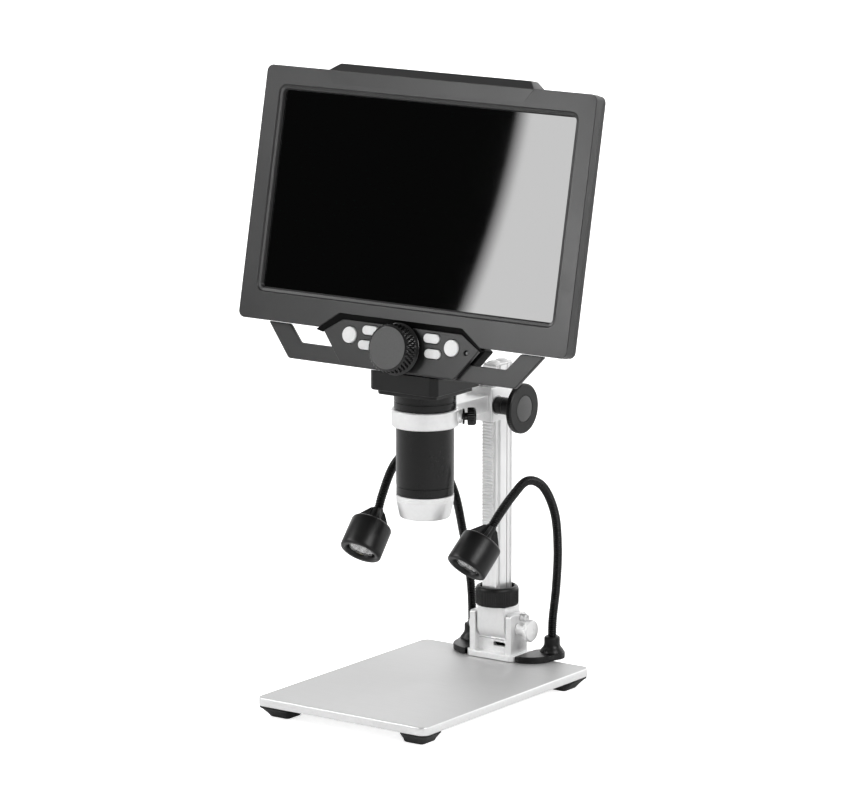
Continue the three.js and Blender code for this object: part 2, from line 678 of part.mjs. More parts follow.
function lampCap(side) {
  const { headLength: length, capLength } = LAMP;
  const start = length + GAP;
  const top = start + capLength;
  const cone = turned([[0, start], [6.2, start], [3.4, top - 1], [2.9, top], [0, top]], 24);
  const fins = [0, 1, 2].map((i) => {
    const fin = outline([[-9.3, start], [9.3, start], [4.6, top - 0.6], [-4.6, top - 0.6]]);
    return pushed(fin, -0.8, 0.8).rotateZ((i * Math.PI) / 3);
  });
  return aimed(join(cone, ...fins), side);
}

const lampLens = (side) =>
  aimed(turned([[0, 1.6], [5.4, 1.9], [LAMP.lens, 2.6], [LAMP.lens, 6.4], [0, 6.4]], 28), side);

// ---- Assembly ----
const model = new THREE.Group();
const screenUnit = new THREE.Group();
screenUnit.position.set(0, SCREEN.y, SCREEN.z);
screenUnit.rotation.x = -THREE.MathUtils.degToRad(SCREEN.tiltDeg);

model.add(
  named("base_plate", basePlate(), "brushedAluminium"),
  named("foot_front_left", cornerFoot(-1, -1), "rubber"),
  named("foot_front_right", cornerFoot(1, -1), "rubber"),
  named("foot_rear_left", cornerFoot(-1, 1), "rubber"),
  named("foot_rear_right", cornerFoot(1, 1), "rubber"),
  named("bracket", bracket(), "silver"),
  named("bracket_screw_left", bracketScrew(-1), "screwSteel"),
  named("bracket_screw_right", bracketScrew(1), "screwSteel"),
  named("stop_screw", stopScrew(), "silver"),
  named("lamp_foot_left", lampFoot(-1), "blackPlastic"),
  named("lamp_foot_right", lampFoot(1), "blackPlastic"),
  named("tilt_block", tiltBlock(), "silver"),
  named("column_collar", collar(), "blackPlastic"),
  named("column", column(), "silver"),
  named("column_rack", rack(), "silver"),
  named("column_cap", columnCap(), "whitePlastic"),
  named("tilt_knob", tiltKnob(), "silver"),
  named("carriage", carriage(), "silver"),
  named("ring_arm", ringArm(), "silver"),
  named("ring_thumbscrew", thumbscrew(), "blackPlastic"),
  named("pinion_shaft", pinionShaft(), "screwSteel"),
  named("focus_knob_left", focusKnob(-1), "blackPlastic"),
  named("focus_knob_right", focusKnob(1), "blackPlastic"),
  named("barrel", barrel(), "blackPlastic"),
  named("tip_ring", tipRing(), "silver"),
  named("led_board", ledBoard(), "board"),
  named("objective_lens", objectiveLens(), "clearLens"),
  named("lens_carrier", lensCarrier(), "blackPlastic"),
  named("adapter_flange", adapterFlange(), "blackPlastic"),
  named("camera_housing", cameraHousing(), "blackPlastic"),
  named("sensor_board", sensorBoard(), "board"),
  screenUnit,
);

screenUnit.add(
  named("front_bezel", frontBezel(), "greyPlastic"),
  named("screen_glass", screenGlass(), "glossBlack"),
  named("lcd_panel", lcdPanel(), "glossBlack"),
  named("rear_cover", rearCover(), "greyPlastic"),
  named("main_board", mainBoard(), "board"),
  named("battery", battery(), "silver"),
  named("control_panel", controlPanel(), "greyPlastic"),
  named("control_housing", controlHousing(), "blackPlastic"),
  named("key_board", keyBoard(), "board"),
  named("wing_frame", wingFrame(), "greyPlastic"),
  named("status_lamp", statusLamp(), "clearLens"),
  named("focus_wheel", focusWheel(), "blackPlastic"),
);
for (const entry of BUTTONS) {
  screenUnit.add(named(entry[0], button(entry), "whitePlastic"));
}

for (const side of ["left", "right"]) {
  const neck = neckParts(side);
  model.add(
    named(`neck_root_${side}`, neck.root, "blackPlastic"),
    named(`neck_arm_${side}`, neck.arm, "blackPlastic"),
    named(`lamp_cap_${side}`, lampCap(side), "blackPlastic"),
    named(`lamp_head_${side}`, lampHead(side), "blackPlastic"),
    named(`lamp_lens_${side}`, lampLens(side), "clearLens"),
  );
}

// The part's origin is the middle of the underside of its box.
const part = new THREE.Group();
part.add(model);
part.updateMatrixWorld(true);
const bounds = new THREE.Box3().setFromObject(model, true);
model.position.set(-(bounds.min.x + bounds.max.x) / 2, -(bounds.min.y + bounds.max.y) / 2, -bounds.min.z);

export default part;
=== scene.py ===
"""Looks of the digital inspection microscope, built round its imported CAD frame. Lengths here are in millimetres
of the design frame: x = y = 0 is the middle of the stage plate, z = 0 is the surface that the feet stand on."""

import json
import math

import bmesh
import bpy
from mathutils import Matrix, Quaternion, Vector


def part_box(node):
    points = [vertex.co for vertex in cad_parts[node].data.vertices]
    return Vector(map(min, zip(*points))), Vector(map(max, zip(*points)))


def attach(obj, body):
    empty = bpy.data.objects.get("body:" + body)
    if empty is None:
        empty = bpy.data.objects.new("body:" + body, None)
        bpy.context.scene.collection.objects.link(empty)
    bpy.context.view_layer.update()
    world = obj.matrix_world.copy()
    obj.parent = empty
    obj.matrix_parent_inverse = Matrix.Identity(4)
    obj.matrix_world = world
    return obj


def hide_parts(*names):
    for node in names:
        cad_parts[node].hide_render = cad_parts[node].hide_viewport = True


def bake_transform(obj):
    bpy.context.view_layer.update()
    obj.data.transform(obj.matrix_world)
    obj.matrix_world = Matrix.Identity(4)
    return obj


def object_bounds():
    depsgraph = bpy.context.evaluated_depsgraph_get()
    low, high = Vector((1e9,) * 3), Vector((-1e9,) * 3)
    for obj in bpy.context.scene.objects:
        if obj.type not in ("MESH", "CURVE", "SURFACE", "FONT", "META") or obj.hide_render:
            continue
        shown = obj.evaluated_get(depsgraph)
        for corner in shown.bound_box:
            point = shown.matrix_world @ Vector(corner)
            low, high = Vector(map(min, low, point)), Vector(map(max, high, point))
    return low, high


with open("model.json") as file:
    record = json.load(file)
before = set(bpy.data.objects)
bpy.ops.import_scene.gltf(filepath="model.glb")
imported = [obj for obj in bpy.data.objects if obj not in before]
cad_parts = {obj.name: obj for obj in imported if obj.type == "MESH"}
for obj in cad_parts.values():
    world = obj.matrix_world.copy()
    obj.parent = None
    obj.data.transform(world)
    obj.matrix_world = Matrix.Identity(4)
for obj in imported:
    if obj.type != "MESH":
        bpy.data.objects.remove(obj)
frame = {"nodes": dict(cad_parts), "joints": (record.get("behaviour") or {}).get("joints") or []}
CAD_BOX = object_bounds()

MM = 0.001
TAU = 2 * math.pi
SIDES = (("left", -1), ("right", 1))


def middle(node):
    low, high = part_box(node)
    return (low + high) / 2


plate_middle = middle("base_plate")
ORIGIN = Vector((plate_middle.x, plate_middle.y, CAD_BOX[0].z))
DESIGN = Matrix.Translation(ORIGIN) @ Matrix.Scale(MM, 4)


def design(point):
    """A point of the row frame, in design millimetres."""
    return (point - ORIGIN) / MM


def at(x, y, z):
    """A point in design millimetres, in the row frame."""
    return ORIGIN + Vector((x, y, z)) * MM


def extent(name):
    """The low and the high corner of a CAD node's box, in design millimetres."""
    return [design(corner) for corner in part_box(name)]


# ---- The screen unit's own frame: x across, y into the screen, z up the screen ----
press = next(j for j in frame["joints"] if j["name"] == "button_left_round_press")
INTO = Vector(press["axis"]).normalized()
TILT = math.atan2(-INTO.z, INTO.y)
BEZEL_DEPTH = 6
SCREEN = (
    Matrix.Translation(middle("front_bezel") - INTO * (BEZEL_DEPTH / 2 * MM))
    @ Matrix.Rotation(-TILT, 4, "X")
    @ Matrix.Scale(MM, 4)
)


# ---- Materials ----
def node(tree, kind, links=(), **values):
    made = tree.nodes.new(kind)
    for key, value in values.items():
        setattr(made, key, value)
    for socket, source in links:
        if hasattr(source, "is_output"):
            tree.links.new(source, made.inputs[socket])
        else:
            made.inputs[socket].default_value = source
    return made


def linear(value):
    """An 8-bit grey or colour as linear light."""
    values = value if isinstance(value, tuple) else (value, value, value)
    return tuple((v / 255) ** 2.2 for v in values) + (1.0,)


def finish(name, dark, light, rough, metallic=0.0, grain=600.0, stretch=(1, 1, 1), bump=0.1, fine=2500.0,
           coat=0.0, ior=1.5, transmission=0.0, mottle=40.0, anisotropy=0.0, emission=None):
    """A procedural surface: broad mottling and fine grain drive its colour, its roughness and its relief."""
    material = bpy.data.materials.new(name)
    material.use_nodes = True
    tree = material.node_tree
    shader = tree.nodes["Principled BSDF"]
    place = node(tree, "ShaderNodeTexCoord").outputs["Object"]
    stretched = node(tree, "ShaderNodeMapping", [("Vector", place), ("Scale", stretch)]).outputs["Vector"]
    grain_noise = node(tree, "ShaderNodeTexNoise", [("Vector", stretched), ("Scale", grain), ("Detail", 6.0),
                                                    ("Roughness", 0.6)])
    broad = node(tree, "ShaderNodeTexNoise", [("Vector", place), ("Scale", mottle), ("Detail", 3.0)])
    blend = node(tree, "ShaderNodeMix", [("Factor", 0.45), ("A", grain_noise.outputs["Fac"]),
                                         ("B", broad.outputs["Fac"])]).outputs["Result"]
    ramp = node(tree, "ShaderNodeValToRGB", [("Fac", blend)])
    ramp.color_ramp.elements[0].position, ramp.color_ramp.elements[0].color = 0.3, linear(dark)
    ramp.color_ramp.elements[1].position, ramp.color_ramp.elements[1].color = 0.7, linear(light)
    tree.links.new(ramp.outputs["Color"], shader.inputs["Base Color"])
    spread = node(tree, "ShaderNodeMapRange", [("Value", blend), ("From Min", 0.3), ("From Max", 0.7),
                                               ("To Min", rough[0]), ("To Max", rough[1])])
    tree.links.new(spread.outputs["Result"], shader.inputs["Roughness"])
    texture = node(tree, "ShaderNodeTexNoise", [("Vector", stretched), ("Scale", fine), ("Detail", 4.0)])
    relief = node(tree, "ShaderNodeBump", [("Strength", bump), ("Distance", 0.00012),
                                           ("Height", texture.outputs["Fac"])])
    tree.links.new(relief.outputs["Normal"], shader.inputs["Normal"])
    shader.inputs["Metallic"].default_value = metallic
    shader.inputs["IOR"].default_value = ior
    shader.inputs["Coat Weight"].default_value = coat
    shader.inputs["Transmission Weight"].default_value = transmission
    shader.inputs["Anisotropic"].default_value = anisotropy
    if emission:
        shader.inputs["Emission Color"].default_value = linear(emission[0])
        shader.inputs["Emission Strength"].default_value = emission[1]
    return material


BRUSHED = finish("brushed_stage", 208, 216, (0.5, 0.6), 0.7, 900, (0.06, 1, 1), 0.1, 1600, anisotropy=0.2)
# Lighter, glossier copy of the stage silver for the plate's side and edge faces: a painted highlight along its
# edges.
LIT_EDGE = finish("painted_edge_highlight", 226, 238, (0.3, 0.4), 0.85, 700, bump=0.02)
SILVER = finish("satin_silver", 236, 246, (0.36, 0.46), 0.6, 500, bump=0.03)
COLUMN_SILVER = finish("drawn_silver", 234, 246, (0.28, 0.38), 0.7, 1500, (1, 1, 0.02), 0.04, 2600, anisotropy=0.3)
STEEL = finish("turned_steel", 150, 176, (0.26, 0.38), 1.0, 1200, bump=0.05)
RUBBER = finish("foot_rubber", 10, 18, (0.6, 0.75), 0.0, 700, bump=0.35, fine=1800)
BLACK = finish("satin_black", 8, 13, (0.3, 0.42), 0.0, 700, bump=0.1, fine=3000, ior=1.4)
BARREL_BLACK = finish("barrel_black", 5, 9, (0.2, 0.3), 0.0, 900, (1, 1, 0.3), 0.06, 3000, ior=1.4)
KNURL_BLACK = finish("knurled_black", 8, 14, (0.16, 0.24), 0.0, 900, bump=0.04)
KNOB_FACE = finish("knob_face_grey", 62, 74, (0.36, 0.48), 0.0, 900, bump=0.15)
GREY = finish("bezel_grey", 38, 44, (0.3, 0.4), 0.0, 800, bump=0.12, fine=2200)
PANEL = finish("panel_grey", 26, 32, (0.32, 0.42), 0.0, 800, bump=0.12, fine=2200)
COVER = finish("cover_grey", 36, 43, (0.4, 0.52), 0.0, 700, bump=0.3, fine=2000)
DARK = finish("inner_black", 10, 15, (0.5, 0.7), 0.0, 500, bump=0.2, ior=1.2)
GLASS = finish("screen_black_glass", (1, 3, 3), (2, 5, 4), (0.015, 0.03), 0.0, 60, bump=0.005, ior=1.52, mottle=8)
WHITE = finish("button_white", 236, 246, (0.26, 0.36), 0.0, 600, bump=0.05)
CAP_WHITE = finish("cap_white", 228, 240, (0.3, 0.42), 0.0, 600, bump=0.08)
NECK = finish("neck_black", 10, 16, (0.22, 0.32), 0.5, 900, bump=0.06)
LENS = finish("clear_lens", 235, 250, (0.02, 0.05), 0.0, 300, bump=0.01, ior=1.46, transmission=1.0)
COATED = finish("coated_objective", (20, 16, 44), (34, 26, 70), (0.02, 0.04), 0.0, 120, bump=0.0, coat=1.0)
REFLECTOR = finish("reflector", 150, 190, (0.06, 0.14), 1.0, 400, bump=0.03)
LED = finish("led_phosphor", (225, 205, 90), (240, 224, 130), (0.3, 0.4), 0.0, 2000, bump=0.2)
BOARD = finish("green_board", (12, 74, 44), (20, 96, 58), (0.35, 0.5), 0.0, 900, bump=0.2)
FOIL = finish("battery_foil", 176, 200, (0.3, 0.42), 1.0, 300, bump=0.2)
STATUS = finish("status_lamp", 120, 150, (0.1, 0.2), 0.0, 900, bump=0.05)


# ---- Mesh building ----
def add(name, shape, body, material, nodes=(), slot=None, place=DESIGN, bevel=0.0, segments=2, limit=32, extra=()):
    """Puts a finished shape in the row frame, bevels its edges and hangs it on its body, if it is given one."""
    if isinstance(shape, bmesh.types.BMesh):
        bmesh.ops.remove_doubles(shape, verts=shape.verts, dist=1e-5)
        bmesh.ops.recalc_face_normals(shape, faces=shape.faces)
        mesh = bpy.data.meshes.new(name)
        shape.to_mesh(mesh)
        shape.free()
    else:
        mesh = shape
        mesh.name = name
    mesh.transform(place)
    for made in (material, *extra):
        mesh.materials.append(made)
    mesh.shade_smooth()
    piece = bpy.data.objects.new(name, mesh)
    bpy.context.scene.collection.objects.link(piece)
    if bevel:
        edges = piece.modifiers.new("edges", "BEVEL")
        edges.width, edges.segments = bevel * MM, segments
        edges.limit_method, edges.angle_limit = "ANGLE", math.radians(limit)
        edges.harden_normals = True
        edges.use_clamp_overlap = False
    else:
        mesh.set_sharp_from_angle(angle=math.radians(limit))
    if body:
        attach(piece, body)
    if nodes:
        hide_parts(*nodes)
    return piece


ALONG = {
    "x": lambda a, b, d: (d, a, b),
    "y": lambda a, b, d: (a, d, b),
    "z": lambda a, b, d: (a, b, d),
}


def prism(points, d0, d1, axis="z", into=None):
    """An outline drawn out along an axis. Along x it is (y, z), along y it is (x, z), along z it is (x, y)."""
    shape = into or bmesh.new()
    put = ALONG[axis]
    low = [shape.verts.new(put(a, b, d0)) for a, b in points]
    high = [shape.verts.new(put(a, b, d1)) for a, b in points]
    shape.faces.new(low)
    shape.faces.new(high[::-1])
    for i in range(len(points)):
        j = (i + 1) % len(points)
        shape.faces.new((low[i], high[i], high[j], low[j]))
    return shape


def block(x0, x1, y0, y1, z0, z1, into=None):
    return prism([(x0, y0), (x1, y0), (x1, y1), (x0, y1)], z0, z1, "z", into)


def plate(outlines, d0, d1, bevel, axis="z", rounds=2):
    """A flat plate with round edges: the first outline is its rim and the others are holes."""
    curve = bpy.data.curves.new("plate", "CURVE")
    curve.dimensions, curve.fill_mode = "2D", "BOTH"
    curve.extrude, curve.bevel_depth = (d1 - d0) / 2 - bevel, bevel
    curve.bevel_resolution, curve.offset = rounds, -bevel
    for points in outlines:
        spline = curve.splines.new("POLY")
        spline.points.add(len(points) - 1)
        for point, (a, b) in zip(spline.points, points):
            point.co = (a, b, 0, 1)
        spline.use_cyclic_u = True
    drawn = bpy.data.objects.new("plate", curve)
    bpy.context.scene.collection.objects.link(drawn)
    bpy.context.view_layer.update()
    flat = bpy.data.meshes.new_from_object(drawn.evaluated_get(bpy.context.evaluated_depsgraph_get()))
    bpy.data.objects.remove(drawn)
    bpy.data.curves.remove(curve)
    flat.materials.clear()
    flat.transform(Matrix.Translation((0, 0, (d0 + d1) / 2)))
    if axis == "y":
        flat.transform(Matrix(((1, 0, 0, 0), (0, 0, 1, 0), (0, 1, 0, 0), (0, 0, 0, 1))))
        flat.flip_normals()
    if axis == "x":
        flat.transform(Matrix(((0, 0, 1, 0), (1, 0, 0, 0), (0, 1, 0, 0), (0, 0, 0, 1))))
    return flat


def rounded(width, height, radius, cx=0.0, cy=0.0, steps=6):
    points = []
    corners = ((1, 1, 0), (-1, 1, 90), (-1, -1, 180), (1, -1, 270))
    for sx, sy, start in corners:
        for i in range(steps + 1):
            angle = math.radians(start + 90 * i / steps)
            points.append((cx + sx * (width / 2 - radius) + radius * math.cos(angle),
                           cy + sy * (height / 2 - radius) + radius * math.sin(angle)))
    return points


def circle(radius, cx=0.0, cy=0.0, steps=32):
    angles = [TAU * i / steps for i in range(steps)]
    return [(cx + radius * math.cos(angle), cy + radius * math.sin(angle)) for angle in angles]


def capsule(x, up, half, radius, steps=12):
    """A slot outline with round ends."""
    points = []
    for side, start in ((1, -90), (-1, 90)):
        for i in range(steps + 1):
            angle = math.radians(start + 180 * i / steps)
            points.append((x + side * half + radius * math.cos(angle), up + radius * math.sin(angle)))
    return points


def skin(shape, rings):
    """Faces from each ring of vertices to the next."""
    for low, high in zip(rings, rings[1:]):
        for i in range(len(low)):
            j = (i + 1) % len(low)
            shape.faces.new((low[i], low[j], high[j], high[i]))


def stack(levels, steps=5):
    """A solid through rounded rectangles: each level is (z, x0, x1, y0, y1, corner radius)."""
    shape = bmesh.new()
    rings = []
    for z, x0, x1, y0, y1, radius in levels:
        outline = rounded(x1 - x0, y1 - y0, radius, (x0 + x1) / 2, (y0 + y1) / 2, steps)
        rings.append([shape.verts.new((x, y, z)) for x, y in outline])
    skin(shape, rings)
    shape.faces.new(rings[0][::-1])
    shape.faces.new(rings[-1])
    return shape


def lathe(profile, segments=64, waves=None):
    """A turned solid about z from (radius, z) pairs. waves gives some pairs, by index, (teeth, height, phase)."""
    shape = bmesh.new()
    rings = []
    for index, (radius, z) in enumerate(profile):
        if radius < 1e-6:
            rings.append([shape.verts.new((0, 0, z))])
            continue
        ring = []
        for i in range(segments):
            angle = TAU * i / segments
            r = radius
            if waves and index in waves:
                teeth, height, phase = waves[index]
                r += height * math.sin(teeth * angle + phase)
            ring.append(shape.verts.new((r * math.cos(angle), r * math.sin(angle), z)))
        rings.append(ring)
    for low, high in zip(rings, rings[1:]):
        for i in range(segments):
            j = (i + 1) % segments
            corners = [low[0 if len(low) == 1 else i], low[0 if len(low) == 1 else j],
                       high[0 if len(high) == 1 else j], high[0 if len(high) == 1 else i]]
            distinct = list(dict.fromkeys(corners))
            if len(distinct) > 2:
                shape.faces.new(distinct)
    return shape


def raised(profile, base):
    """A profile of (radius, height) pairs, its heights measured from a base."""
    return [(radius, base + height) for radius, height in profile]


def turned(shape, axis="z", place=(0, 0, 0)):
    """Moves a turned solid so that its own z lies along an axis, and puts its origin at a place."""
    turns = {
        "z": Matrix.Identity(4),
        "x": Matrix.Rotation(math.pi / 2, 4, "Y"),
        "-x": Matrix.Rotation(-math.pi / 2, 4, "Y"),
        "y": Matrix.Rotation(-math.pi / 2, 4, "X"),
        "-y": Matrix.Rotation(math.pi / 2, 4, "X"),
    }
    turn = turns[axis] if isinstance(axis, str) else axis
    shape.transform(Matrix.Translation(place) @ turn)
    return shape


def merged(*shapes):
    whole = bmesh.new()
    for shape in shapes:
        scratch = bpy.data.meshes.new("scratch")
        if isinstance(shape, bmesh.types.BMesh):
            shape.to_mesh(scratch)
            shape.free()
        else:
            scratch = shape
        whole.from_mesh(scratch)
        bpy.data.meshes.remove(scratch)
    return whole


def screw_head(radius, height, slot=0.35):
    """A pan-headed screw with a cross recess, standing on z = 0."""
    head = lathe([(0, 0), (radius, 0), (radius, height * 0.45), (radius * 0.86, height * 0.8),
                  (radius * 0.5, height), (0, height)], 28)
    arm = radius * 0.62
    width = radius * 0.14
    for a, b in ((arm, width), (width, arm)):
        block(-a, a, -b, b, height - slot * 0.2, height + 0.03, head)
    return head


# ---- Base ----
SCREW_X, SCREW_Y = 7, 74
stage_low, stage_high = extent("base_plate")
WIDTH, DEPTH = (stage_high - stage_low).xy
stage_plate = plate([rounded(WIDTH, DEPTH, 5, steps=10), circle(3.4, SCREW_X, SCREW_Y),
                     circle(3.4, -SCREW_X, SCREW_Y)], stage_low.z, stage_high.z, 0.7, rounds=3)
stage = add("stage_plate", stage_plate, "stand", BRUSHED, ["base_plate"], extra=(LIT_EDGE,))
# Side and edge faces take the lighter silver, which paints the bright highlight along the plate's edges.
for face in stage.data.polygons:
    face.material_index = 0 if abs(face.normal.z) > 0.95 else 1

for end, y_sign in (("front", -1), ("rear", 1)):
    for side, x_sign in SIDES:
        corner_x, corner_y = WIDTH / 2 - 0.6, DEPTH / 2 - 0.6
        levels = []
        for z, outer, inner, radius in ((0, 5.2, 18.4, 2), (0.5, 4.7, 18.9, 2.4), (2.2, 3.4, 18.9, 3),
                                        (4.9, 1.0, 18.9, 3.4), (5.5, 0.1, 18.6, 3.6), (6.3, 0, 18.6, 3.6)):
            far_x, near_x = corner_x - outer, corner_x - inner + (0 if z > 4 else 0.4)
            far_y, near_y = corner_y - outer, corner_y - inner + (0 if z > 4 else 0.4)
            x0, x1 = sorted((x_sign * far_x, x_sign * near_x))
            y0, y1 = sorted((y_sign * far_y, y_sign * near_y))
            levels.append((z, x0, x1, y0, y1, radius))
        add(f"corner_foot_{end}_{side}", stack(levels), "stand", RUBBER, [f"foot_{end}_{side}"],
            bevel=0.25, limit=40)

# Bracket: flange, ears and slotted cross wall
bracket_low, bracket_high = extent("bracket")
EAR_FRONT, EAR_REAR, EAR_TOP = bracket_high.y - 17.2, bracket_high.y, bracket_high.z
FLANGE = bracket_high.x
FLOOR = bracket_low.z
flange_outline = [(-FLANGE, EAR_REAR), (-FLANGE, EAR_FRONT + 1.5), (-FLANGE + 3, EAR_FRONT - 1.6),
                  (FLANGE - 3, EAR_FRONT - 1.6), (FLANGE, EAR_FRONT + 1.5), (FLANGE, EAR_REAR)]
ear_outline = [(EAR_FRONT, FLOOR + 1), (EAR_REAR, FLOOR + 1), (EAR_REAR, EAR_TOP - 2.2), (EAR_REAR - 2.2, EAR_TOP),
               (EAR_FRONT + 1.2, EAR_TOP), (EAR_FRONT, EAR_TOP - 1.2)]
wall = plate([[(-11, FLOOR + 2), (11, FLOOR + 2), (11, 22.4), (-11, 22.4)], capsule(3.7, 20, 3, 1.25)],
             EAR_FRONT + 4, EAR_FRONT + 7, 0.3, "y")
add("slot_shadow", block(-1.4, 8.8, EAR_FRONT + 7.05, EAR_FRONT + 8, 17.6, 22.2), "stand", DARK)
bracket_shape = merged(prism(flange_outline, FLOOR, FLOOR + 3.6), prism(ear_outline, 10.7, 14.7, "x"),
                       prism(ear_outline, -14.7, -10.7, "x"), wall)
add("column_bracket", bracket_shape, "stand", SILVER, ["bracket"], bevel=0.45, segments=3)
for side, sign in SIDES:
    head = turned(screw_head(3, 2.4), Matrix.Rotation(math.pi, 4, "X"), (sign * SCREW_X, SCREW_Y, 9.3))
    shank = turned(lathe([(0, 0), (1.3, 0), (1.3, 5), (0, 5)], 20), "z", (sign * SCREW_X, SCREW_Y, 9.2))
    add(f"floor_screw_{side}", merged(head, shank), "stand", STEEL, [f"bracket_screw_{side}"])
stop = design(middle("stop_screw"))
stop_profile = [(0, 0), (2.1, 0), (2.4, 0.4), (2.4, 3.6), (1.9, 4.3), (1.1, 4.3), (1.1, 3.3), (0, 3.3)]
add("stop_pin", turned(lathe(stop_profile, 32), "x", (stop.x - 2.1, stop.y, stop.z)), "stand", SILVER,
    ["stop_screw"])

# ---- Tilting column ----
PIVOT = design(middle("tilt_knob"))
BLOCK_LOW, BLOCK_HIGH = extent("tilt_block")
side_outline = [(BLOCK_HIGH.y, BLOCK_HIGH.z), (BLOCK_LOW.y, BLOCK_HIGH.z), (BLOCK_LOW.y, PIVOT.z)]
round_radius = PIVOT.y - BLOCK_LOW.y
side_outline += [(PIVOT.y - round_radius * math.cos(angle), PIVOT.z - round_radius * math.sin(angle))
                 for angle in (math.pi * i / 14 for i in range(1, 15))]
side_outline.append((BLOCK_HIGH.y, PIVOT.z + 6))
add("pivot_block", prism(side_outline, BLOCK_LOW.x, BLOCK_HIGH.x, "x"), "mast", SILVER, ["tilt_block"],
    bevel=0.7, segments=3)

COLUMN = design(middle("column"))
collar_low, collar_high = extent("column_collar")
collar_z, collar_top, collar_r = collar_low.z, collar_high.z, (collar_high.x - collar_low.x) / 2
collar_profile = [(10.1, collar_z), (collar_r - 0.4, collar_z), (collar_r, collar_z + 0.5)]
collar_profile += [(collar_r, collar_z + 1 + 0.8 * i) for i in range(11)]
collar_profile += [(collar_r - 0.2, collar_top - 1.1), (collar_r - 0.8, collar_top - 0.4),
                   (collar_r - 1.6, collar_top), (10.6, collar_top), (10.1, collar_top - 0.5), (10.1, collar_z)]
collar_waves = {i: (72, 0.11, 0) for i in range(3, 14)}
add("mast_collar", turned(lathe(collar_profile, 288, collar_waves), "z", (0, COLUMN.y, 0)), "mast", BLACK,
    ["column_collar"], limit=40)
collar_floor = lathe([(0, collar_z), (10.3, collar_z), (10.3, collar_z + 2), (0, collar_z + 2)], 48)
add("collar_floor", turned(collar_floor, "z", (0, COLUMN.y, 0)), "mast", DARK)

column_low, column_high = extent("column")
FRONT, REAR = column_low.y, column_high.y
right = [(5, REAR - 0.6), (5, REAR - 1.4), (4.2, REAR - 1.6), (4.2, REAR - 3.2), (5, REAR - 3.4), (5, REAR - 5.8),
         (4.8, REAR - 5.9), (4.8, REAR - 6.1), (5, REAR - 6.2), (5, FRONT + 4.4), (3.4, FRONT + 4.3),
         (3.2, FRONT + 4), (3.2, FRONT + 1.4), (3.4, FRONT + 1.1), (5, FRONT + 1), (5, FRONT + 0.4), (4.6, FRONT)]
left = [(-x, y) for x, y in reversed(right)]
add("column_profile", prism([(4.4, REAR)] + right + left + [(-4.4, REAR)], column_low.z, column_high.z), "mast",
    COLUMN_SILVER, ["column"], bevel=0.12, segments=1)

rack_low, rack_high = extent("column_rack")
PITCH_RADIUS, GEAR_TEETH = 3.6, 12
PITCH = TAU * PITCH_RADIUS / GEAR_TEETH
root = rack_high.y - 1
teeth = [(rack_high.y + 0.3, rack_low.z)]
z = rack_low.z
while z < rack_high.z - 0.1:
    teeth += [(root, z), (root, z + 0.34), (root - 1.1, z + 0.76), (root - 1.18, z + 0.84),
              (root - 1.18, z + 1.04), (root - 1.1, z + 1.12), (root, z + 1.52)]
    z += PITCH
teeth += [(root, rack_high.z), (rack_high.y + 0.3, rack_high.z)]
add("toothed_rack", prism(teeth, rack_low.x, rack_high.x, "x"), "mast", COLUMN_SILVER, ["column_rack"], limit=30)

cap_z = extent("column_cap")[0].z
cap_base = plate([rounded(10, 17, 1.6, 0, COLUMN.y)], cap_z - 0.2, cap_z + 0.9, 0.3)
lobes = [turned(lathe([(0, 0), (3.8, 0), (3.9, 0.5), (3.5, 1.2), (2.4, 1.7), (0, 1.9)], 40), "z",
                (0, COLUMN.y + offset, cap_z + 0.3)) for offset in (-4.1, 4.1)]
add("column_end_cap", merged(cap_base, *lobes), "mast", CAP_WHITE, ["column_cap"], limit=50)

# Tilt bolt with its knurled knob
knob_low, knob_high = extent("tilt_knob")
outer = knob_high.x
bolt = [(0, knob_low.x), (3.9, knob_low.x), (4.4, knob_low.x + 0.5), (4.4, -15), (2.5, -15), (2.5, 15), (3.7, 15),
        (3.7, outer - 3.4), (6.1, outer - 3.2), (6.4, outer - 2.8), (6.4, outer - 2.1), (6.4, outer - 1.4),
        (6.4, outer - 0.7), (6, outer - 0.2), (5.2, outer), (1.6, outer), (1.4, outer - 0.3), (0, outer - 0.3)]
bolt_solid = lathe(bolt, 192, {i: (32, 0.13, 0) for i in (9, 10, 11, 12)})
add("tilt_clamp_knob", turned(bolt_solid, "x", (0, PIVOT.y, PIVOT.z)), "tilt_clamp", SILVER, ["tilt_knob"],
    limit=34)

# ---- Carriage ----
carriage_low, carriage_high = extent("carriage")
half = carriage_high.x
channel = [(-5.3, 53.9), (5.3, 53.9), (5.3, REAR + 0.3), (-5.3, REAR + 0.3)]
slide_outline = rounded(2 * half, carriage_high.y - carriage_low.y, 1.2, 0, (carriage_low.y + carriage_high.y) / 2)
body_shape = plate([slide_outline, channel], carriage_low.z, carriage_high.z, 0.5)
add("slide_block", body_shape, "carriage", SILVER, ["carriage"], limit=34)
PINION = design(middle("pinion_shaft"))
SIDEWAYS = {"left": "-x", "right": "x"}
for side, sign in SIDES:
    boss = turned(lathe([(0, 0), (5.6, 0), (5.6, 0.1), (5.3, 0.22), (2.4, 0.22), (0, 0.22)], 48), SIDEWAYS[side],
                  (sign * (half - 0.02), PINION.y, PINION.z))
    grubs = [turned(lathe([(0, 0), (1.5, 0), (1.5, 0.12), (1.3, 0.25), (0.8, 0.25), (0.7, 0.02), (0, 0.02)], 30),
                    SIDEWAYS[side], (sign * (half - 0.02), 74.5, z)) for z in (160.4, 171.4)]
    add(f"slide_details_{side}", merged(boss, *grubs), "carriage", STEEL, limit=34)

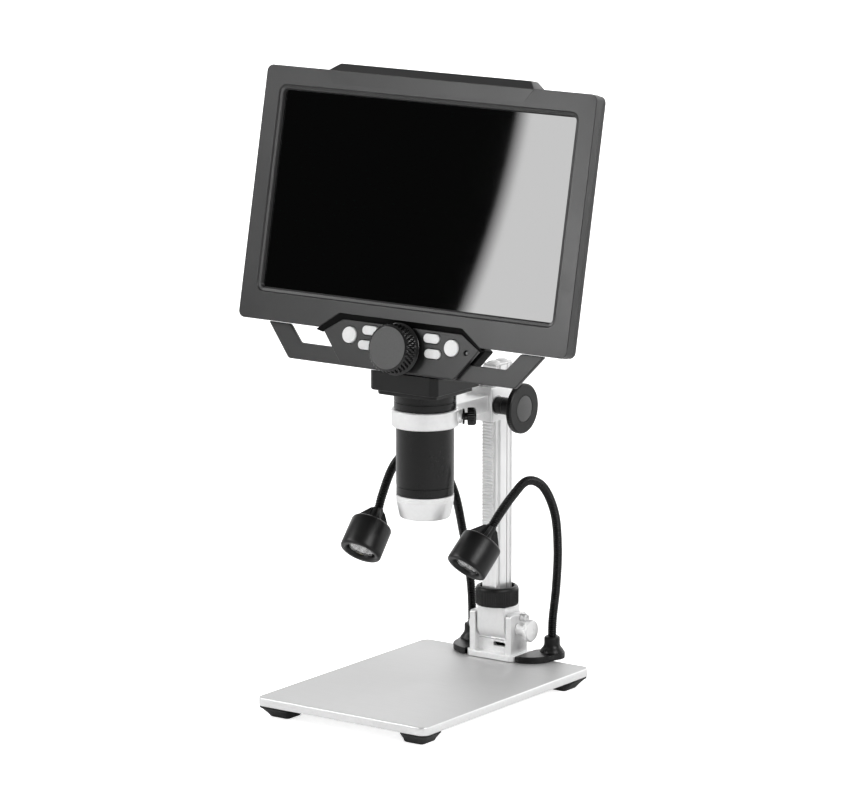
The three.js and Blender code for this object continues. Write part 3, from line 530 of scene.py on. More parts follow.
RING_LOW, RING_HIGH = (p.z for p in extent("ring_arm"))
ring_r, barrel_r = 19.2, 16.6
ring_profile = [(barrel_r + 0.3, RING_LOW + 0.3), (barrel_r + 0.6, RING_LOW), (ring_r - 0.5, RING_LOW),
                (ring_r, RING_LOW + 0.5), (ring_r, RING_HIGH - 0.5), (ring_r - 0.5, RING_HIGH),
                (barrel_r + 0.6, RING_HIGH), (barrel_r + 0.3, RING_HIGH - 0.3), (barrel_r + 0.3, RING_LOW + 0.3)]
arm_end = extent("ring_arm")[1].y
arm = stack([(RING_LOW, -7.6, 7.6, 17.4, arm_end, 0.8), (RING_HIGH - 0.4, -7.6, 7.6, 17.4, arm_end, 0.8)])
add("barrel_clamp_ring", lathe(ring_profile, 96), "carriage", SILVER, ["ring_arm"],
    limit=34)
add("clamp_ring_arm", arm, "carriage", SILVER, bevel=0.5, segments=3)
THUMB_TURN = Matrix.Rotation(math.radians(36), 4, "Z") @ Matrix.Rotation(math.pi / 2, 4, "Y")
THUMB_Z = (RING_LOW + RING_HIGH) / 2
boss = turned(lathe([(0, 18), (4, 18), (4, 20.6), (3.6, 20.9), (0, 20.9)], 40), THUMB_TURN, (0, 0, THUMB_Z))
add("clamp_ring_boss", boss, "carriage", SILVER, limit=34)
thumb = [(0, 17.4), (1.6, 17.4), (1.6, 21.2), (4.4, 21.2), (4.6, 21.4), (4.6, 22.2), (4.3, 22.5), (2.2, 22.7),
         (2.2, 24), (4.6, 24.1), (5, 24.5), (5, 25.6), (5, 26.7), (5, 27.8), (4.9, 28.4), (4.3, 29.1), (0, 29.2)]
add("clamp_thumbscrew", turned(lathe(thumb, 144, {i: (24, 0.16, 0) for i in (10, 11, 12, 13)}), THUMB_TURN,
                               (0, 0, THUMB_Z)), "ring_screw", KNURL_BLACK, ["ring_thumbscrew"],
    limit=34)

# Pinion and its two knobs
gear_outline = []
for i in range(GEAR_TEETH):
    for turn, radius in ((-0.32, 2.85), (-0.14, 4.05), (-0.1, 4.15), (0.1, 4.15), (0.14, 4.05), (0.32, 2.85)):
        angle = (i + turn) * TAU / GEAR_TEETH
        gear_outline.append((radius * math.sin(angle), radius * math.cos(angle)))
gear = prism([(a + PINION.y, b + PINION.z) for b, a in gear_outline], -4, 4, "x")
shaft = turned(lathe([(0, -20.4), (1.9, -20.4), (1.9, 20.4), (0, 20.4)], 24), "x", (0, PINION.y, PINION.z))
add("pinion_gear", merged(gear, shaft), "pinion", STEEL, ["pinion_shaft"], limit=30)
for side in SIDEWAYS:
    knob_box = extent(f"focus_knob_{side}")
    start, far = sorted(abs(p.x) for p in knob_box)
    rim = (knob_box[1].z - knob_box[0].z) / 2 + 0.4
    grip = far - 3.6
    profile = raised([(0, 0), (5, 0), (5, 4), (4.7, 4.3), (4.7, 4.9), (5, 5.2)], start)
    profile += [(5, grip - 0.8), (5.6, grip - 0.2), (rim - 0.8, grip), (rim - 0.2, grip + 0.4)]
    profile += [(rim - 0.08, grip + 0.7 + 0.55 * i) for i in range(5)]
    profile += [(rim - 0.3, far - 0.4), (rim - 0.9, far), (8.1, far), (7.8, far - 0.3)]
    profile += [(7.6, far - 0.35), (0, far - 0.35)]
    knob = lathe(profile, 240, {i: (60, 0.09, 0) for i in range(10, 15)})
    inlay = lathe([(0, far - 0.4), (7.5, far - 0.4), (7.5, far - 0.12), (7.2, far), (0, far)], 64)
    for shape in (knob, inlay):
        turned(shape, SIDEWAYS[side], (0, PINION.y, PINION.z))
    add(f"focus_hand_knob_{side}", knob, "pinion", BLACK, [f"focus_knob_{side}"], limit=30)
    add(f"focus_knob_inlay_{side}", inlay, "pinion", KNOB_FACE, limit=34)

# ---- Optical head ----
BARREL_LOW, BARREL_HIGH = (p.z for p in extent("barrel"))
TIP_LOW = extent("tip_ring")[0].z
barrel_profile = [(12.8, BARREL_LOW), (16.2, BARREL_LOW), (16.4, BARREL_LOW + 0.3), (16.4, BARREL_LOW + 4.6),
                  (16.15, BARREL_LOW + 4.8), (16.15, BARREL_LOW + 5.3), (16.5, BARREL_LOW + 5.5),
                  (16.6, BARREL_LOW + 12), (16.6, RING_HIGH + 0.2), (17.5, RING_HIGH + 0.3),
                  (17.8, RING_HIGH + 0.6), (17.8, RING_HIGH + 4.2), (17.5, RING_HIGH + 4.4),
                  (17.5, RING_HIGH + 4.9), (17.8, RING_HIGH + 5.1), (17.8, BARREL_HIGH - 0.2),
                  (17.6, BARREL_HIGH), (12.8, BARREL_HIGH), (12.8, BARREL_LOW)]
add("lens_barrel", lathe(barrel_profile, 128), "head", BARREL_BLACK, ["barrel"], limit=30)
tip_top = BARREL_LOW - 0.3
tip_profile = [(12.9, TIP_LOW + 0.5), (13.4, TIP_LOW), (14, TIP_LOW), (14.6, TIP_LOW + 0.6), (16.5, tip_top - 3.6),
               (16.5, tip_top - 3.1), (16.35, tip_top - 2.95), (16.35, tip_top - 2.65), (16.55, tip_top - 2.5),
               (16.55, tip_top - 1.7), (16.4, tip_top - 1.55), (16.4, tip_top - 1.25), (16.6, tip_top - 1.1),
               (16.6, tip_top), (13.2, tip_top), (13.2, TIP_LOW + 4), (12.9, TIP_LOW + 3.8), (12.9, TIP_LOW + 0.5)]
add("barrel_tip", lathe(tip_profile, 128), "head", SILVER, ["tip_ring"], limit=24)
board = [(7.6, 3.6), (12.8, 3.6), (12.8, 4.6), (7.6, 4.6), (7.6, 3.6)]
add("light_board", lathe(raised(board, TIP_LOW), 64), "head", WHITE, ["led_board"], "circuit_board", limit=34)
domes, chips = [], []
for i in range(8):
    angle = TAU * (i + 0.5) / 8
    place = (10.2 * math.cos(angle), 10.2 * math.sin(angle), TIP_LOW + 3.6)
    domes.append(turned(lathe([(0, 0), (1.7, 0), (1.7, 1), (1.5, 1.6), (0.9, 2.1), (0, 2.3)], 24),
                        Matrix.Rotation(math.pi, 4, "X"), place))
    chips.append(block(place[0] - 0.8, place[0] + 0.8, place[1] - 0.8, place[1] + 0.8, TIP_LOW + 3.3,
                       TIP_LOW + 3.7))
add("ring_light_domes", merged(*domes), "head", LENS, limit=50)
add("ring_light_chips", merged(*chips), "head", LED)
objective = raised([(0, 2.6), (2.4, 2.75), (4.4, 3.2), (5.9, 3.9), (6.4, 4.4), (6.4, 8), (0, 8)], TIP_LOW)
add("objective_glass", lathe(objective, 64), "head", COATED, ["objective_lens"], limit=34)
cell = raised([(6.5, 2.8), (6.7, 2.5), (7.2, 2.5), (7.4, 2.8), (7.4, 8), (6.5, 8), (6.5, 2.8)], TIP_LOW)
add("objective_cell", lathe(cell, 64), "head", DARK, limit=34)

flange_box = extent("adapter_flange")
reach = flange_box[1].x
cut = 3
flange_outline = [(reach - cut, -reach), (reach, -reach + cut), (reach, reach - cut), (reach - cut, reach),
                  (-reach + cut, reach), (-reach, reach - cut), (-reach, -reach + cut), (-reach + cut, -reach)]
adapter = plate([flange_outline, circle(11, steps=48)], flange_box[0].z, flange_box[1].z + 0.35, 0.4)
add("adapter_plate", adapter, "head", BLACK, ["adapter_flange"], limit=34)

# Camera housing, faceted at its upright corners, cut off along the screen unit's underside
housing_low, housing_high = extent("camera_housing")
hx, hy0, hy1, hz = housing_high.x, housing_low.y, housing_high.y, housing_low.z
cut = 3.4
plan = [(hx - cut, hy0), (hx, hy0 + cut), (hx, hy1 - cut), (hx - cut, hy1), (-hx + cut, hy1), (-hx, hy1 - cut),
        (-hx, hy0 + cut), (-hx + cut, hy0)]
to_design = DESIGN.inverted() @ SCREEN
slope = to_design.to_3x3().normalized() @ Vector((0, 0, 1))


def housing_part(y_from, plane_up, narrower=0.0):
    """A stretch of the faceted housing, cut level with a height up the screen."""
    shape = prism([(x * (1 - narrower), y * (1 - narrower)) for x, y in plan], hz + 10 * narrower, 230)
    cuts = ((Vector((0, y_from, 0)), Vector((0, -1, 0))), (to_design @ Vector((0, 0, plane_up)), slope))
    for point, normal in cuts:
        bmesh.ops.bisect_plane(shape, geom=shape.verts[:] + shape.edges[:] + shape.faces[:], dist=1e-5,
                               plane_co=point, plane_no=normal, clear_outer=True)
    corners = [v.co.copy() for v in shape.verts]
    shape.free()
    solid = bmesh.new()
    for corner in corners:
        solid.verts.new(corner)
    bmesh.ops.convex_hull(solid, input=solid.verts[:])
    bmesh.ops.dissolve_limit(solid, angle_limit=math.radians(1), verts=solid.verts[:], edges=solid.edges[:])
    return solid


add("camera_housing_front", housing_part(hy0 - 1, -93.3), "head", BLACK, ["camera_housing"],
    bevel=0.6, segments=3, limit=25)
back_edge = design(SCREEN @ Vector((0, 18.7, -93))).y
rear_shape = housing_part(back_edge, -74, 0.012)
add("camera_housing_rear", rear_shape, "head", BLACK, bevel=0.8, segments=3, limit=25)

# ---- Screen unit ----
GLASS_W, GLASS_H, GLASS_UP = 199.5, 112.6, 2.7
GLASS_FRONT = 3.1
BEZEL_W, BEZEL_H = 227, 146
BEZEL_LOW = -BEZEL_H / 2
NOTCH = [(-55.7, BEZEL_LOW), (-42.2, -63.5), (42.2, -63.5), (55.7, BEZEL_LOW)]


def on_screen(name, shape, material, nodes=(), slot="grey_plastic", **edges):
    """A piece of the head, drawn in the screen unit's own frame."""
    add(name, shape, "head", material, nodes, slot, SCREEN, **edges)


def ring_fill(shape, loops):
    """Fills the flat area between closed loops of vertices."""
    edges = []
    for loop in loops:
        for i, vert in enumerate(loop):
            other = loop[(i + 1) % len(loop)]
            edges.append(shape.edges.get((vert, other)) or shape.edges.new((vert, other)))
    bmesh.ops.triangle_fill(shape, use_beauty=True, edges=edges)


def bezel():
    shape = bmesh.new()
    rim = rounded(BEZEL_W, BEZEL_H, 4, steps=8)
    first = next(i for i, (x, up) in enumerate(rim) if up <= BEZEL_LOW + 1e-6)
    rim = rim[:first + 1] + NOTCH + rim[first + 1:]
    window = [rounded(GLASS_W + 2 * out, GLASS_H + 2 * out, 1.6 + out, 0, GLASS_UP, 6)
              for out in (3.4, 3, 1.1, 0.5, 0)]

    def loop(points, depth):
        return [shape.verts.new((x, depth, up)) for x, up in points]

    front, back = loop(rim, 0), loop(rim, BEZEL_DEPTH)
    steps = [loop(points, depth) for points, depth in zip(window, (0, 0.8, 1.3, 3, BEZEL_DEPTH))]
    skin(shape, (front, back))
    skin(shape, steps)
    ring_fill(shape, (front, steps[0]))
    ring_fill(shape, (back, steps[-1]))
    return shape


on_screen("screen_bezel", bezel(), GREY, ["front_bezel"], bevel=0.35, segments=3, limit=20)
ridge = stack([(70.6, -72.4, 72.4, 0.5, 13.6, 0.6), (72.6, -71, 71, 0.5, 13.6, 0.6),
               (77.4, -65.5, 65.5, 4.6, 12, 0.8)])
on_screen("top_ridge", ridge, GREY, bevel=0.5, segments=3, limit=20)
apron = bmesh.new()
for row in (-0.3, 0.6), (0.05, 0.6):
    half_width, height = (71.4, 72.4) if row[0] < 0 else (64.5, 64)
    for depth in row:
        for end in (-1, 1):
            apron.verts.new((end * half_width, depth, height))
bmesh.ops.convex_hull(apron, input=apron.verts[:])
on_screen("ridge_apron", apron, GREY, limit=2)
on_screen("display_glass", plate([rounded(GLASS_W + 4, GLASS_H + 4, 2, 0, GLASS_UP)], GLASS_FRONT, 4.6, 0.1, "y"),
          GLASS, ["screen_glass"], "screen_glass", limit=34)

# Sloping wall from the bezel's notch down to the control panel
wall_top = [(-57.6, -74.4), *NOTCH, (57.6, -74.4)]
wall_low = [(-54.4, -75.6), (-53.2, -74.7), (-40.9, -67), (40.9, -67), (53.2, -74.7), (54.4, -75.6)]
sloped = bmesh.new()
upper = [sloped.verts.new((x, 0.35, up)) for x, up in wall_top]
lower = [sloped.verts.new((x, 3.2, up)) for x, up in wall_low]
back_row = [sloped.verts.new((x, 6, up + 2)) for x, up in wall_top]
for i in range(len(upper) - 1):
    sloped.faces.new((upper[i], upper[i + 1], lower[i + 1], lower[i]))
    sloped.faces.new((upper[i + 1], upper[i], back_row[i], back_row[i + 1]))
on_screen("notch_wall", sloped, DARK, limit=24)

# Rear cover: tray, tapered back with slotted panel, screws in wells
cover = bmesh.new()
COVER_BACK = 21.8
levels = ((6.3, 113.2, 72.7, 4), (9.5, 113.2, 72.7, 4), (10.1, 112.6, 72.1, 4), (10.2, 111.6, 71.1, 4),
          (20.6, 104, 63.4, 7), (21.3, 103.2, 62.6, 7), (COVER_BACK, 101.8, 61.2, 7))
rings = []
for depth, half_x, half_z, radius in levels:
    rings.append([cover.verts.new((x, depth, up)) for x, up in rounded(2 * half_x, 2 * half_z, radius, steps=8)])
skin(cover, rings)
recess = [[cover.verts.new((x, depth, up)) for x, up in rounded(190, 110, 5, steps=8)]
          for depth in (COVER_BACK, 21)]
ring_fill(cover, (rings[-1], recess[0]))
skin(cover, recess)
on_screen("rear_shell", cover, COVER, ["rear_cover"], limit=20)
vents = [capsule(x, up, 9, 1) for up in (28, 33, 38, 43) for x in (-36, -12, 12, 36)]
COVER_SCREWS = [(x, up) for x in (-88, 88) for up in (-48, 48)] + [(0, -48)]
wells = [circle(3.6, x, up, 24) for x, up in COVER_SCREWS]
door = plate([rounded(96, 52, 3, 0, -12)], 21.1, 22.1, 0.35, "y")
back_panel = plate([rounded(189, 109, 5), rounded(97.4, 53.4, 3.6, 0, -12), *vents, *wells], 20.6, COVER_BACK,
                   0.25, "y")
on_screen("rear_panel", back_panel, COVER, limit=34)
latch = prism([(-10, 8.6), (10, 8.6), (8, 11), (-8, 11)], 21.9, 22.3, "y")
on_screen("battery_door", merged(door, latch), COVER, limit=34)
on_screen("rear_liner", plate([rounded(192, 112, 5)], 19, 20, 0.1, "y"), DARK)
well_screws = [turned(screw_head(2.6, 1.1), "y", (x, 19.9, up)) for x, up in COVER_SCREWS]
on_screen("cover_screws", merged(*well_screws), STEEL, slot="screw_steel", limit=34)

# Control panel with its buttons, wheel and status lamp
PANEL_FRONT, WHEEL_UP = 2.5, -79.5
STATUS_X, STATUS_UP = 45.5, -76.9
HEX = [(-39.3, -92.3), (39.3, -92.3), (53.8, -74.6), (41.2, -66.8), (-41.2, -66.8), (-53.8, -74.6)]
BUTTONS = {
    "button_left_round": (-35.3, -75.2, 0, 4.7),
    "button_left_upper": (-21.2, -71.3, 2.7, 2.6),
    "button_left_lower": (-23, -79.8, 2.7, 2.6),
    "button_right_upper": (21.2, -71.3, 2.7, 2.6),
    "button_right_lower": (23, -79.8, 2.7, 2.6),
    "button_right_round": (35.3, -75.2, 0, 4.7),
}


def soft_corners(points, radius, steps=4):
    """An outline whose corners are rounded."""
    soft = []
    for i, here in enumerate(points):
        before, after = Vector(points[i - 1]), Vector(points[(i + 1) % len(points)])
        corner = Vector(here)
        start = corner + (before - corner).normalized() * radius
        end = corner + (after - corner).normalized() * radius
        for k in range(steps + 1):
            t = k / steps
            soft.append(tuple(start * (1 - t) ** 2 + corner * 2 * t * (1 - t) + end * t ** 2))
    return soft


def inset(points, amount):
    """An outline drawn in towards its middle."""
    cx = sum(p[0] for p in points) / len(points)
    cy = sum(p[1] for p in points) / len(points)
    reach = max(math.hypot(p[0] - cx, p[1] - cy) for p in points)
    return [(cx + (x - cx) * (1 - amount / reach), cy + (y - cy) * (1 - 2.4 * amount / reach)) for x, y in points]


holes = [capsule(x, up, half_len, radius + 0.3) for x, up, half_len, radius in BUTTONS.values()]
holes += [circle(3.4, 0, WHEEL_UP), circle(1.5, STATUS_X, STATUS_UP, 20)]
on_screen("control_face", plate([soft_corners(HEX, 1), *holes], PANEL_FRONT, 5.2, 0.4, "y"), PANEL,
          ["control_panel"], limit=34)
skirt = [(x, max(up, -82.6)) for x, up in HEX]
on_screen("control_skirt", prism(inset(skirt, 0.6), 5, 8.6, "y"), DARK)
on_screen("control_back", prism(HEX, 8.4, 18, "y"), DARK, ["control_housing"], "black_plastic", bevel=1,
          segments=3)
for name, (x, up, half_len, radius) in BUTTONS.items():
    body_plate = plate([capsule(x, up, half_len, radius, 16)], 1.5, 5.6, 0.55, "y", rounds=4)
    add(name.replace("button", "key"), body_plate, name, WHITE, [name], place=SCREEN, limit=40)
lamp = lathe([(0, 0), (1.2, 0), (1.2, 0.9), (0.9, 1.25), (0, 1.4)], 24)
on_screen("status_light", turned(lamp, "-y", (STATUS_X, 4.6, STATUS_UP)), STATUS, ["status_lamp"], "clear_lens",
          limit=50)

# Knurled focus wheel
wheel_front, wheel_back = PANEL_FRONT - 12, 1.6
profile = [(0, wheel_front + 0.25), (9.6, wheel_front + 0.25), (10.2, wheel_front), (11.9, wheel_front),
           (12.5, wheel_front + 0.5)]
stud_rows = 5
waves = {}
for i in range(3 * stud_rows + 1):
    band, row = divmod(i, stud_rows)
    waves[len(profile)] = (34, 0.9 * math.sin(math.pi * row / stud_rows), math.pi * (band % 2))
    profile.append((13.3, wheel_front + 0.9 + i * 0.54))
profile += [(13.4, wheel_front + 9.2), (14.6, wheel_front + 9.5), (15, wheel_front + 9.8), (15, wheel_back - 0.4),
            (14.6, wheel_back), (3, wheel_back), (3, 14.8), (0, 14.8)]
add("focus_hand_wheel", turned(lathe(profile, 264, waves), "y", (0, 0, WHEEL_UP)), "focus_wheel", KNURL_BLACK,
    ["focus_wheel"], place=SCREEN, limit=60)
add("wheel_face", turned(lathe([(0, wheel_front + 0.05), (11.9, wheel_front - 0.05), (12.1, wheel_front + 0.2),
                                      (0, wheel_front + 0.4)], 96), "y", (0, 0, WHEEL_UP)), "focus_wheel",
    KNOB_FACE, place=SCREEN, limit=34)

# Handle frame
TOP = -73.3
WING = [(-95.4, TOP), (-78.5, -93), (78.5, -93), (95.4, TOP), (80, TOP), (71.2, -83.2), (-71.2, -83.2), (-80, TOP)]
wing_soft = soft_corners(WING, 1.4)
on_screen("handle_frame", plate([wing_soft], 5.5, 8.1, 0.5, "y"), GREY, ["wing_frame"],
    limit=34)

# ---- Gooseneck lamps ----
SOCKET_X, SOCKET_Y = 28.5, 88
NECK_RADIUS, RIB_HEIGHT, RIB_STEPS, NECK_STEP = 2.45, 0.5, 4, 0.34
LAMP_LENGTH = 29.6
NECKS = {
    "left": ([(-28.5, 88, 21), (-28.6, 88, 33), (-30.5, 89, 50), (-34, 86, 80), (-36, 79.2, 106), (-38, 64, 128),
              (-38, 43, 138), (-37, 21.4, 131), (-35.3, 6.6, 115), (-34.7, 2.8, 108.7)], (0.033, -0.662, -0.747)),
    "right": ([(28.5, 88, 21), (28.7, 88, 33), (31.5, 87.5, 55), (35.5, 83, 80), (38, 75.5, 103),
               (39.6, 60, 121.5), (40, 44, 126.8), (40.2, 29, 120.5), (39.7, 15, 110.8), (38.9, 10.9, 106.3)],
              (-0.146, -0.672, -0.726)),
}


def smooth_path(points, step):
    """Evenly spaced points along a centripetal curve through the given ones."""
    knots = [Vector(p) for p in points]
    knots = [knots[0] * 2 - knots[1]] + knots + [knots[-1] * 2 - knots[-2]]
    dense = []
    for i in range(1, len(knots) - 2):
        p = knots[i - 1:i + 3]
        t = [0.0]
        for k in range(3):
            t.append(t[-1] + (p[k + 1] - p[k]).length ** 0.5)
        for k in range(40):
            u = t[1] + (t[2] - t[1]) * k / 40
            a = [p[k2] * ((t[k2 + 1] - u) / (t[k2 + 1] - t[k2])) + p[k2 + 1] * ((u - t[k2]) / (t[k2 + 1] - t[k2]))
                 for k2 in range(3)]
            b = [a[k2] * ((t[k2 + 2] - u) / (t[k2 + 2] - t[k2])) + a[k2 + 1] * ((u - t[k2]) / (t[k2 + 2] - t[k2]))
                 for k2 in range(2)]
            dense.append(b[0] * ((t[2] - u) / (t[2] - t[1])) + b[1] * ((u - t[1]) / (t[2] - t[1])))
    dense.append(knots[-2])
    path, travelled = [dense[0]], 0.0
    for here, there in zip(dense, dense[1:]):
        length = (there - here).length
        while travelled + length >= step:
            here = here.lerp(there, (step - travelled) / length)
            length = (there - here).length
            travelled = 0.0
            path.append(here)
        travelled += length
    path.append(dense[-1])
    return path


def ribbed_tube(path, first, sides=14):
    """A tube along a path with a rib every few steps. first is where on the whole neck it begins."""
    shape = bmesh.new()
    rings = []
    across = Vector((1, 0, 0))
    for i, here in enumerate(path):
        along = (path[min(i + 1, len(path) - 1)] - path[max(i - 1, 0)]).normalized()
        across = (across - along * across.dot(along)).normalized()
        other = along.cross(across)
        r = NECK_RADIUS + RIB_HEIGHT * (abs(math.sin(math.pi * (i + first) / RIB_STEPS)) - 0.5)
        rings.append([shape.verts.new(here + (across * math.cos(angle) + other * math.sin(angle)) * r)
                      for angle in (TAU * k / sides for k in range(sides))])
    skin(shape, rings)
    shape.faces.new(rings[0][::-1])
    shape.faces.new(rings[-1])
    return shape


def neck_piece(name, path, first, nodes):
    """A stretch of neck along a path, put on no body, its place baked into the mesh."""
    piece = add(name, ribbed_tube(path, first), None, NECK, nodes, "neck_metal", limit=80)
    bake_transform(piece)


for side, sign in SIDES:
    points, aim = NECKS[side]
    path = smooth_path(points, NECK_STEP)
    top = max(range(len(path)), key=lambda i: path[i].z)
    top -= top % RIB_STEPS
    neck_piece(f"gooseneck_lower_{side}", path[:top + 1], 0,
               [f"neck_root_{side}", f"neck_arm_{side}"])
    neck_piece(f"gooseneck_upper_{side}", path[top:], top,
               [f"neck_arm_{side}"])

    # Foot: tongue and lobe, flared socket
    rim = [(17.8, 65.2), (20, 65.2)]
    corners = [Vector(p) for p in ((20, 65.2), (27, 67), (33.4, 72), (34, 80))]
    for k in range(1, 9):
        t = k / 8
        point = (corners[0] * (1 - t) ** 3 + corners[1] * 3 * t * (1 - t) ** 2 + corners[2] * 3 * t ** 2 * (1 - t)
                 + corners[3] * t ** 3)
        rim.append(tuple(point))
    rim += [(SOCKET_X + 7.6 * math.cos(a), SOCKET_Y + 7.6 * math.sin(a))
            for a in (-0.5 + 3.0 * k / 16 for k in range(17))]
    rim.append((17.8, 86))
    rim = [(sign * x, y) for x, y in rim]
    add(f"lamp_foot_pad_{side}", plate([rim], 11.9, 15.6, 0.45, rounds=2), "stand", BLACK,
        [f"lamp_foot_{side}"], limit=40)
    socket_profile = [(0, 14), (7.3, 14), (7.2, 15.4), (6.8, 16.6), (5.9, 17.8), (5.1, 18.8), (4.75, 19.8),
                      (4.65, 20.6), (4.65, 23.6), (4.5, 24.3), (4.1, 24.7), (3.2, 24.8), (2.9, 24.4), (0, 24.4)]
    socket = turned(lathe(socket_profile, 48), "z", (sign * SOCKET_X, SOCKET_Y, 0))
    add(f"lamp_socket_{side}", socket, "stand", BLACK, limit=50)

    # Head, drawn nose down at z = 0 and then aimed
    direction = Vector(aim).normalized()
    nose = Vector(points[-1]) + direction * LAMP_LENGTH
    turn = (-direction).to_track_quat("Z", "Y").to_matrix().to_4x4()
    aimed = DESIGN @ Matrix.Translation(nose) @ turn
    body = f"lamp_{side}"
    shell = [(7.7, 5.4), (8, 2.4), (8.5, 1), (9, 0.3), (9.8, 0), (11.3, 0), (11.9, 0.3), (12.2, 1), (12.25, 2.2),
             (12.1, 18), (11.8, 18.8), (11.2, 19.4), (10.2, 19.8), (9.2, 20), (0, 20)]
    add(f"lamp_shell_{side}", lathe(shell, 72), body, BLACK, [f"lamp_head_{side}"], place=aimed, limit=60)
    bowl = [(7.9, 2.6), (7.2, 4), (6, 6), (4.4, 8), (2.6, 9), (0, 9), (0, 9.4), (7.9, 9.4), (7.9, 2.6)]
    bowl_solid = lathe(bowl, 48, {1: (8, 0.3, 0), 2: (8, 0.5, 0), 3: (8, 0.4, 0)})
    add(f"lamp_reflector_{side}", bowl_solid, body, REFLECTOR, place=aimed, limit=20)
    add(f"lamp_led_{side}", lathe([(0, 7), (1, 7.1), (1.7, 7.8), (1.8, 9.1), (0, 9.1)], 24), body, LED,
        slot="clear_lens", place=aimed, limit=50)
    window = lathe([(0, 1.7), (4, 1.8), (7.8, 2.2), (7.8, 2.7), (4, 2.4), (0, 2.3)], 48)
    add(f"lamp_window_{side}", window, body, LENS, [f"lamp_lens_{side}"], place=aimed, limit=50)
    core = lathe([(0, 19.6), (5.6, 19.6), (5, 20.6), (3.9, 23), (3.4, 27), (3.3, 28.6), (3, 29.3), (0, 29.3)], 40)
    for i in range(2):
        fin = prism([(-10.2, 19.6), (10.2, 19.6), (10, 20.4), (4.6, 27.8), (3.4, 28.6), (-3.4, 28.6), (-4.6, 27.8),
                     (-10, 20.4)], -0.95, 0.95, "y")
        fin.transform(Matrix.Rotation(math.pi / 4 + i * math.pi / 2, 4, "Z"))
        core = merged(core, fin)
    add(f"lamp_back_{side}", core, body, BLACK, [f"lamp_cap_{side}"], place=aimed, bevel=0.25, limit=40)

# ---- Carried-over CAD nodes ----
for name, material in {"lcd_panel": DARK, "main_board": BOARD, "key_board": BOARD, "sensor_board": BOARD,
                       "battery": FOIL, "lens_carrier": DARK}.items():
    mesh = frame["nodes"][name].data
    mesh.materials.clear()
    mesh.materials.append(material)

# ---- Camera: the photograph's viewpoint ----
VIEW_BACK = Vector((0.5686, -0.7985, 0.1977)).normalized()
VIEW_RIGHT = Vector((0.8146, 0.58, 0)).normalized()
CAMERA_PLACE = at(1552, -2173.8, 715.5)
FOCAL_LENGTH = 200.46
camera_data = bpy.data.cameras.new("camera")
camera_data.sensor_fit, camera_data.sensor_width = "HORIZONTAL", 36
camera_data.lens = FOCAL_LENGTH
camera_data.clip_start, camera_data.clip_end = 0.05, 50
camera = bpy.data.objects.new("camera", camera_data)
turn = Matrix((VIEW_RIGHT, VIEW_BACK.cross(VIEW_RIGHT), VIEW_BACK)).transposed().to_4x4()
camera.matrix_world = Matrix.Translation(CAMERA_PLACE) @ turn
bpy.context.scene.collection.objects.link(camera)
bpy.context.scene.camera = camera
bpy.context.scene.view_settings.view_transform = "Standard"

# ---- Studio ----
HIDDEN_FROM_LIGHT = ("visible_diffuse", "visible_glossy", "visible_transmission", "visible_shadow")
world = bpy.data.worlds.new("studio")
bpy.context.scene.world = world
world.use_nodes = True
world.node_tree.nodes["Background"].inputs["Color"].default_value = (1, 1, 1, 1)
world.node_tree.nodes["Background"].inputs["Strength"].default_value = 0.36


def stage_piece(name, shape, material, location, turn=None, hidden=()):
    """A stage surface, unseen by some kinds of ray."""
    mesh = bpy.data.meshes.new(name)
    shape.to_mesh(mesh)
    shape.free()
    mesh.materials.append(material)
    made = bpy.data.objects.new(name, mesh)
    made.location = location
    if turn:
        made.rotation_mode = "QUATERNION"
        made.rotation_quaternion = turn
    bpy.context.scene.collection.objects.link(made)
    for ray in hidden:
        setattr(made, ray, False)


def sheet(half_x, half_y):
    shape = bmesh.new()
    bmesh.ops.create_grid(shape, x_segments=1, y_segments=1, size=1)
    shape.transform(Matrix.Diagonal((half_x, half_y, 1, 1)))
    return shape


def glowing(name, strength):
    return finish(name, 250, 254, (0.85, 0.95), grain=4, bump=0.0, mottle=2, emission=(255, strength))


floor_at = Vector((0, 0, CAD_BOX[0].z))
stage_piece("studio_floor", sheet(6, 6), glowing("floor_white", 0.72), floor_at, hidden=HIDDEN_FROM_LIGHT)
stage_piece("bounce_floor", sheet(6, 6), glowing("floor_bounce", 0.1), floor_at - Vector((0, 0, 0.0005)),
            hidden=("visible_camera",))
stage_piece("backdrop", sheet(4, 1.2), glowing("backdrop_white", 1.0), Vector((-1, 2.4, 1.1)),
            Quaternion((1, 0, 0), math.radians(90)))
stage_piece("surround", lathe([(5.9, -0.01), (5.9, 6)], 48), glowing("surround_white", 1.0), floor_at,
            hidden=HIDDEN_FROM_LIGHT)


def area_light(name, place, target, size, power):
    lamp_data = bpy.data.lights.new(name, "AREA")
    lamp_data.shape, lamp_data.size, lamp_data.size_y = "RECTANGLE", size[0], size[1]
    lamp_data.energy = power
    lit = bpy.data.objects.new(name, lamp_data)
    lit.location = at(*place)
    lit.rotation_mode = "QUATERNION"
    lit.rotation_quaternion = (at(*target) - at(*place)).to_track_quat("-Z", "Y")
    lit.visible_camera = False
    bpy.context.scene.collection.objects.link(lit)


area_light("key", (1500, -300, 1100), (0, 0, 180), (0.8, 0.8), 15)
area_light("fill", (-1100, -700, 900), (0, 0, 150), (0.7, 0.7), 8)

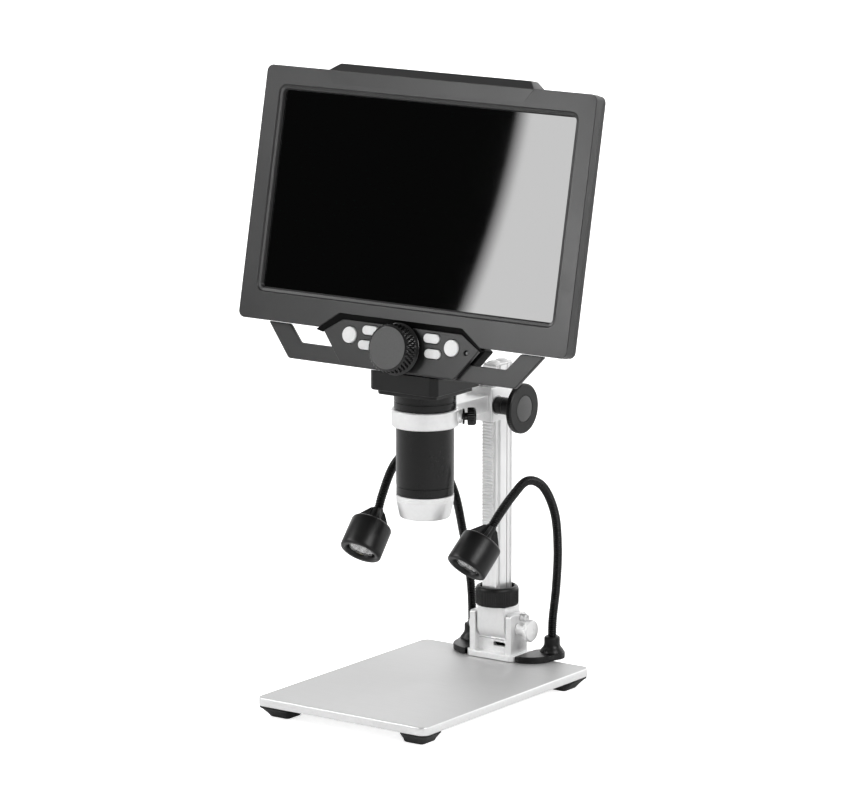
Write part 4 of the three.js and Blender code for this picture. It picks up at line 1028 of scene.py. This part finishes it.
# Card that the screen mirrors: dark, but for a bright field past a soft curved edge
GLASS_OUT = -INTO
glass_middle = middle("screen_glass")
mirrored_view = -VIEW_BACK + 2 * VIEW_BACK.dot(GLASS_OUT) * GLASS_OUT
CARD_DISTANCE = 0.75
card_place = glass_middle + mirrored_view * CARD_DISTANCE
card_turn = (-mirrored_view).to_track_quat("Z", "Y")


def on_card(x, up):
    """Where the card is met by the camera's view mirrored at a point of the glass."""
    point = SCREEN @ Vector((x, GLASS_FRONT, up))
    ray = (point - CAMERA_PLACE).normalized()
    ray -= 2 * ray.dot(GLASS_OUT) * GLASS_OUT
    far = (card_place - point).dot(mirrored_view) / ray.dot(mirrored_view)
    return card_turn.inverted() @ (point + ray * far - card_place)


upper, central, lower = (on_card(*p).to_2d() for p in ((62, 56), (55, 6), (39, -54)))
chord_a, chord_b = central - upper, lower - central
centre = Matrix((chord_a, chord_b)).inverted() @ Vector((chord_a.dot((upper + central) / 2),
                                                        chord_b.dot((central + lower) / 2)))
flag_radius = (central - centre).length
corners = [on_card(x, up) for x in (-104, 200) for up in (-60, 66)]
card_low = Vector([min(p[i] for p in corners) for i in range(2)])
card_high = Vector([max(p[i] for p in corners) for i in range(2)])
half_card, card_shift = (card_high - card_low) / 2, ((card_low + card_high) / 2).to_3d()
CARD = bpy.data.materials.new("reflector_card")
CARD.use_nodes = True
tree = CARD.node_tree
tree.nodes.remove(tree.nodes["Principled BSDF"])
place = node(tree, "ShaderNodeTexCoord").outputs["Object"]
offset = node(tree, "ShaderNodeVectorMath", [(0, place), (1, centre.to_3d() - card_shift)],
              operation="SUBTRACT").outputs["Vector"]
reach = node(tree, "ShaderNodeVectorMath", [(0, offset)], operation="LENGTH").outputs["Value"]
glow = node(tree, "ShaderNodeMapRange", [("Value", reach), ("From Min", flag_radius - 0.004),
                                         ("From Max", flag_radius + 0.008), ("To Min", 0.05), ("To Max", 12.5)])
shine = node(tree, "ShaderNodeEmission", [("Strength", glow.outputs["Result"])])
tree.links.new(shine.outputs["Emission"], tree.nodes["Material Output"].inputs["Surface"])
stage_piece("reflector_card", sheet(*half_card), CARD, card_place + card_turn @ card_shift, card_turn,
            ("visible_camera", "visible_diffuse", "visible_transmission", "visible_shadow"))
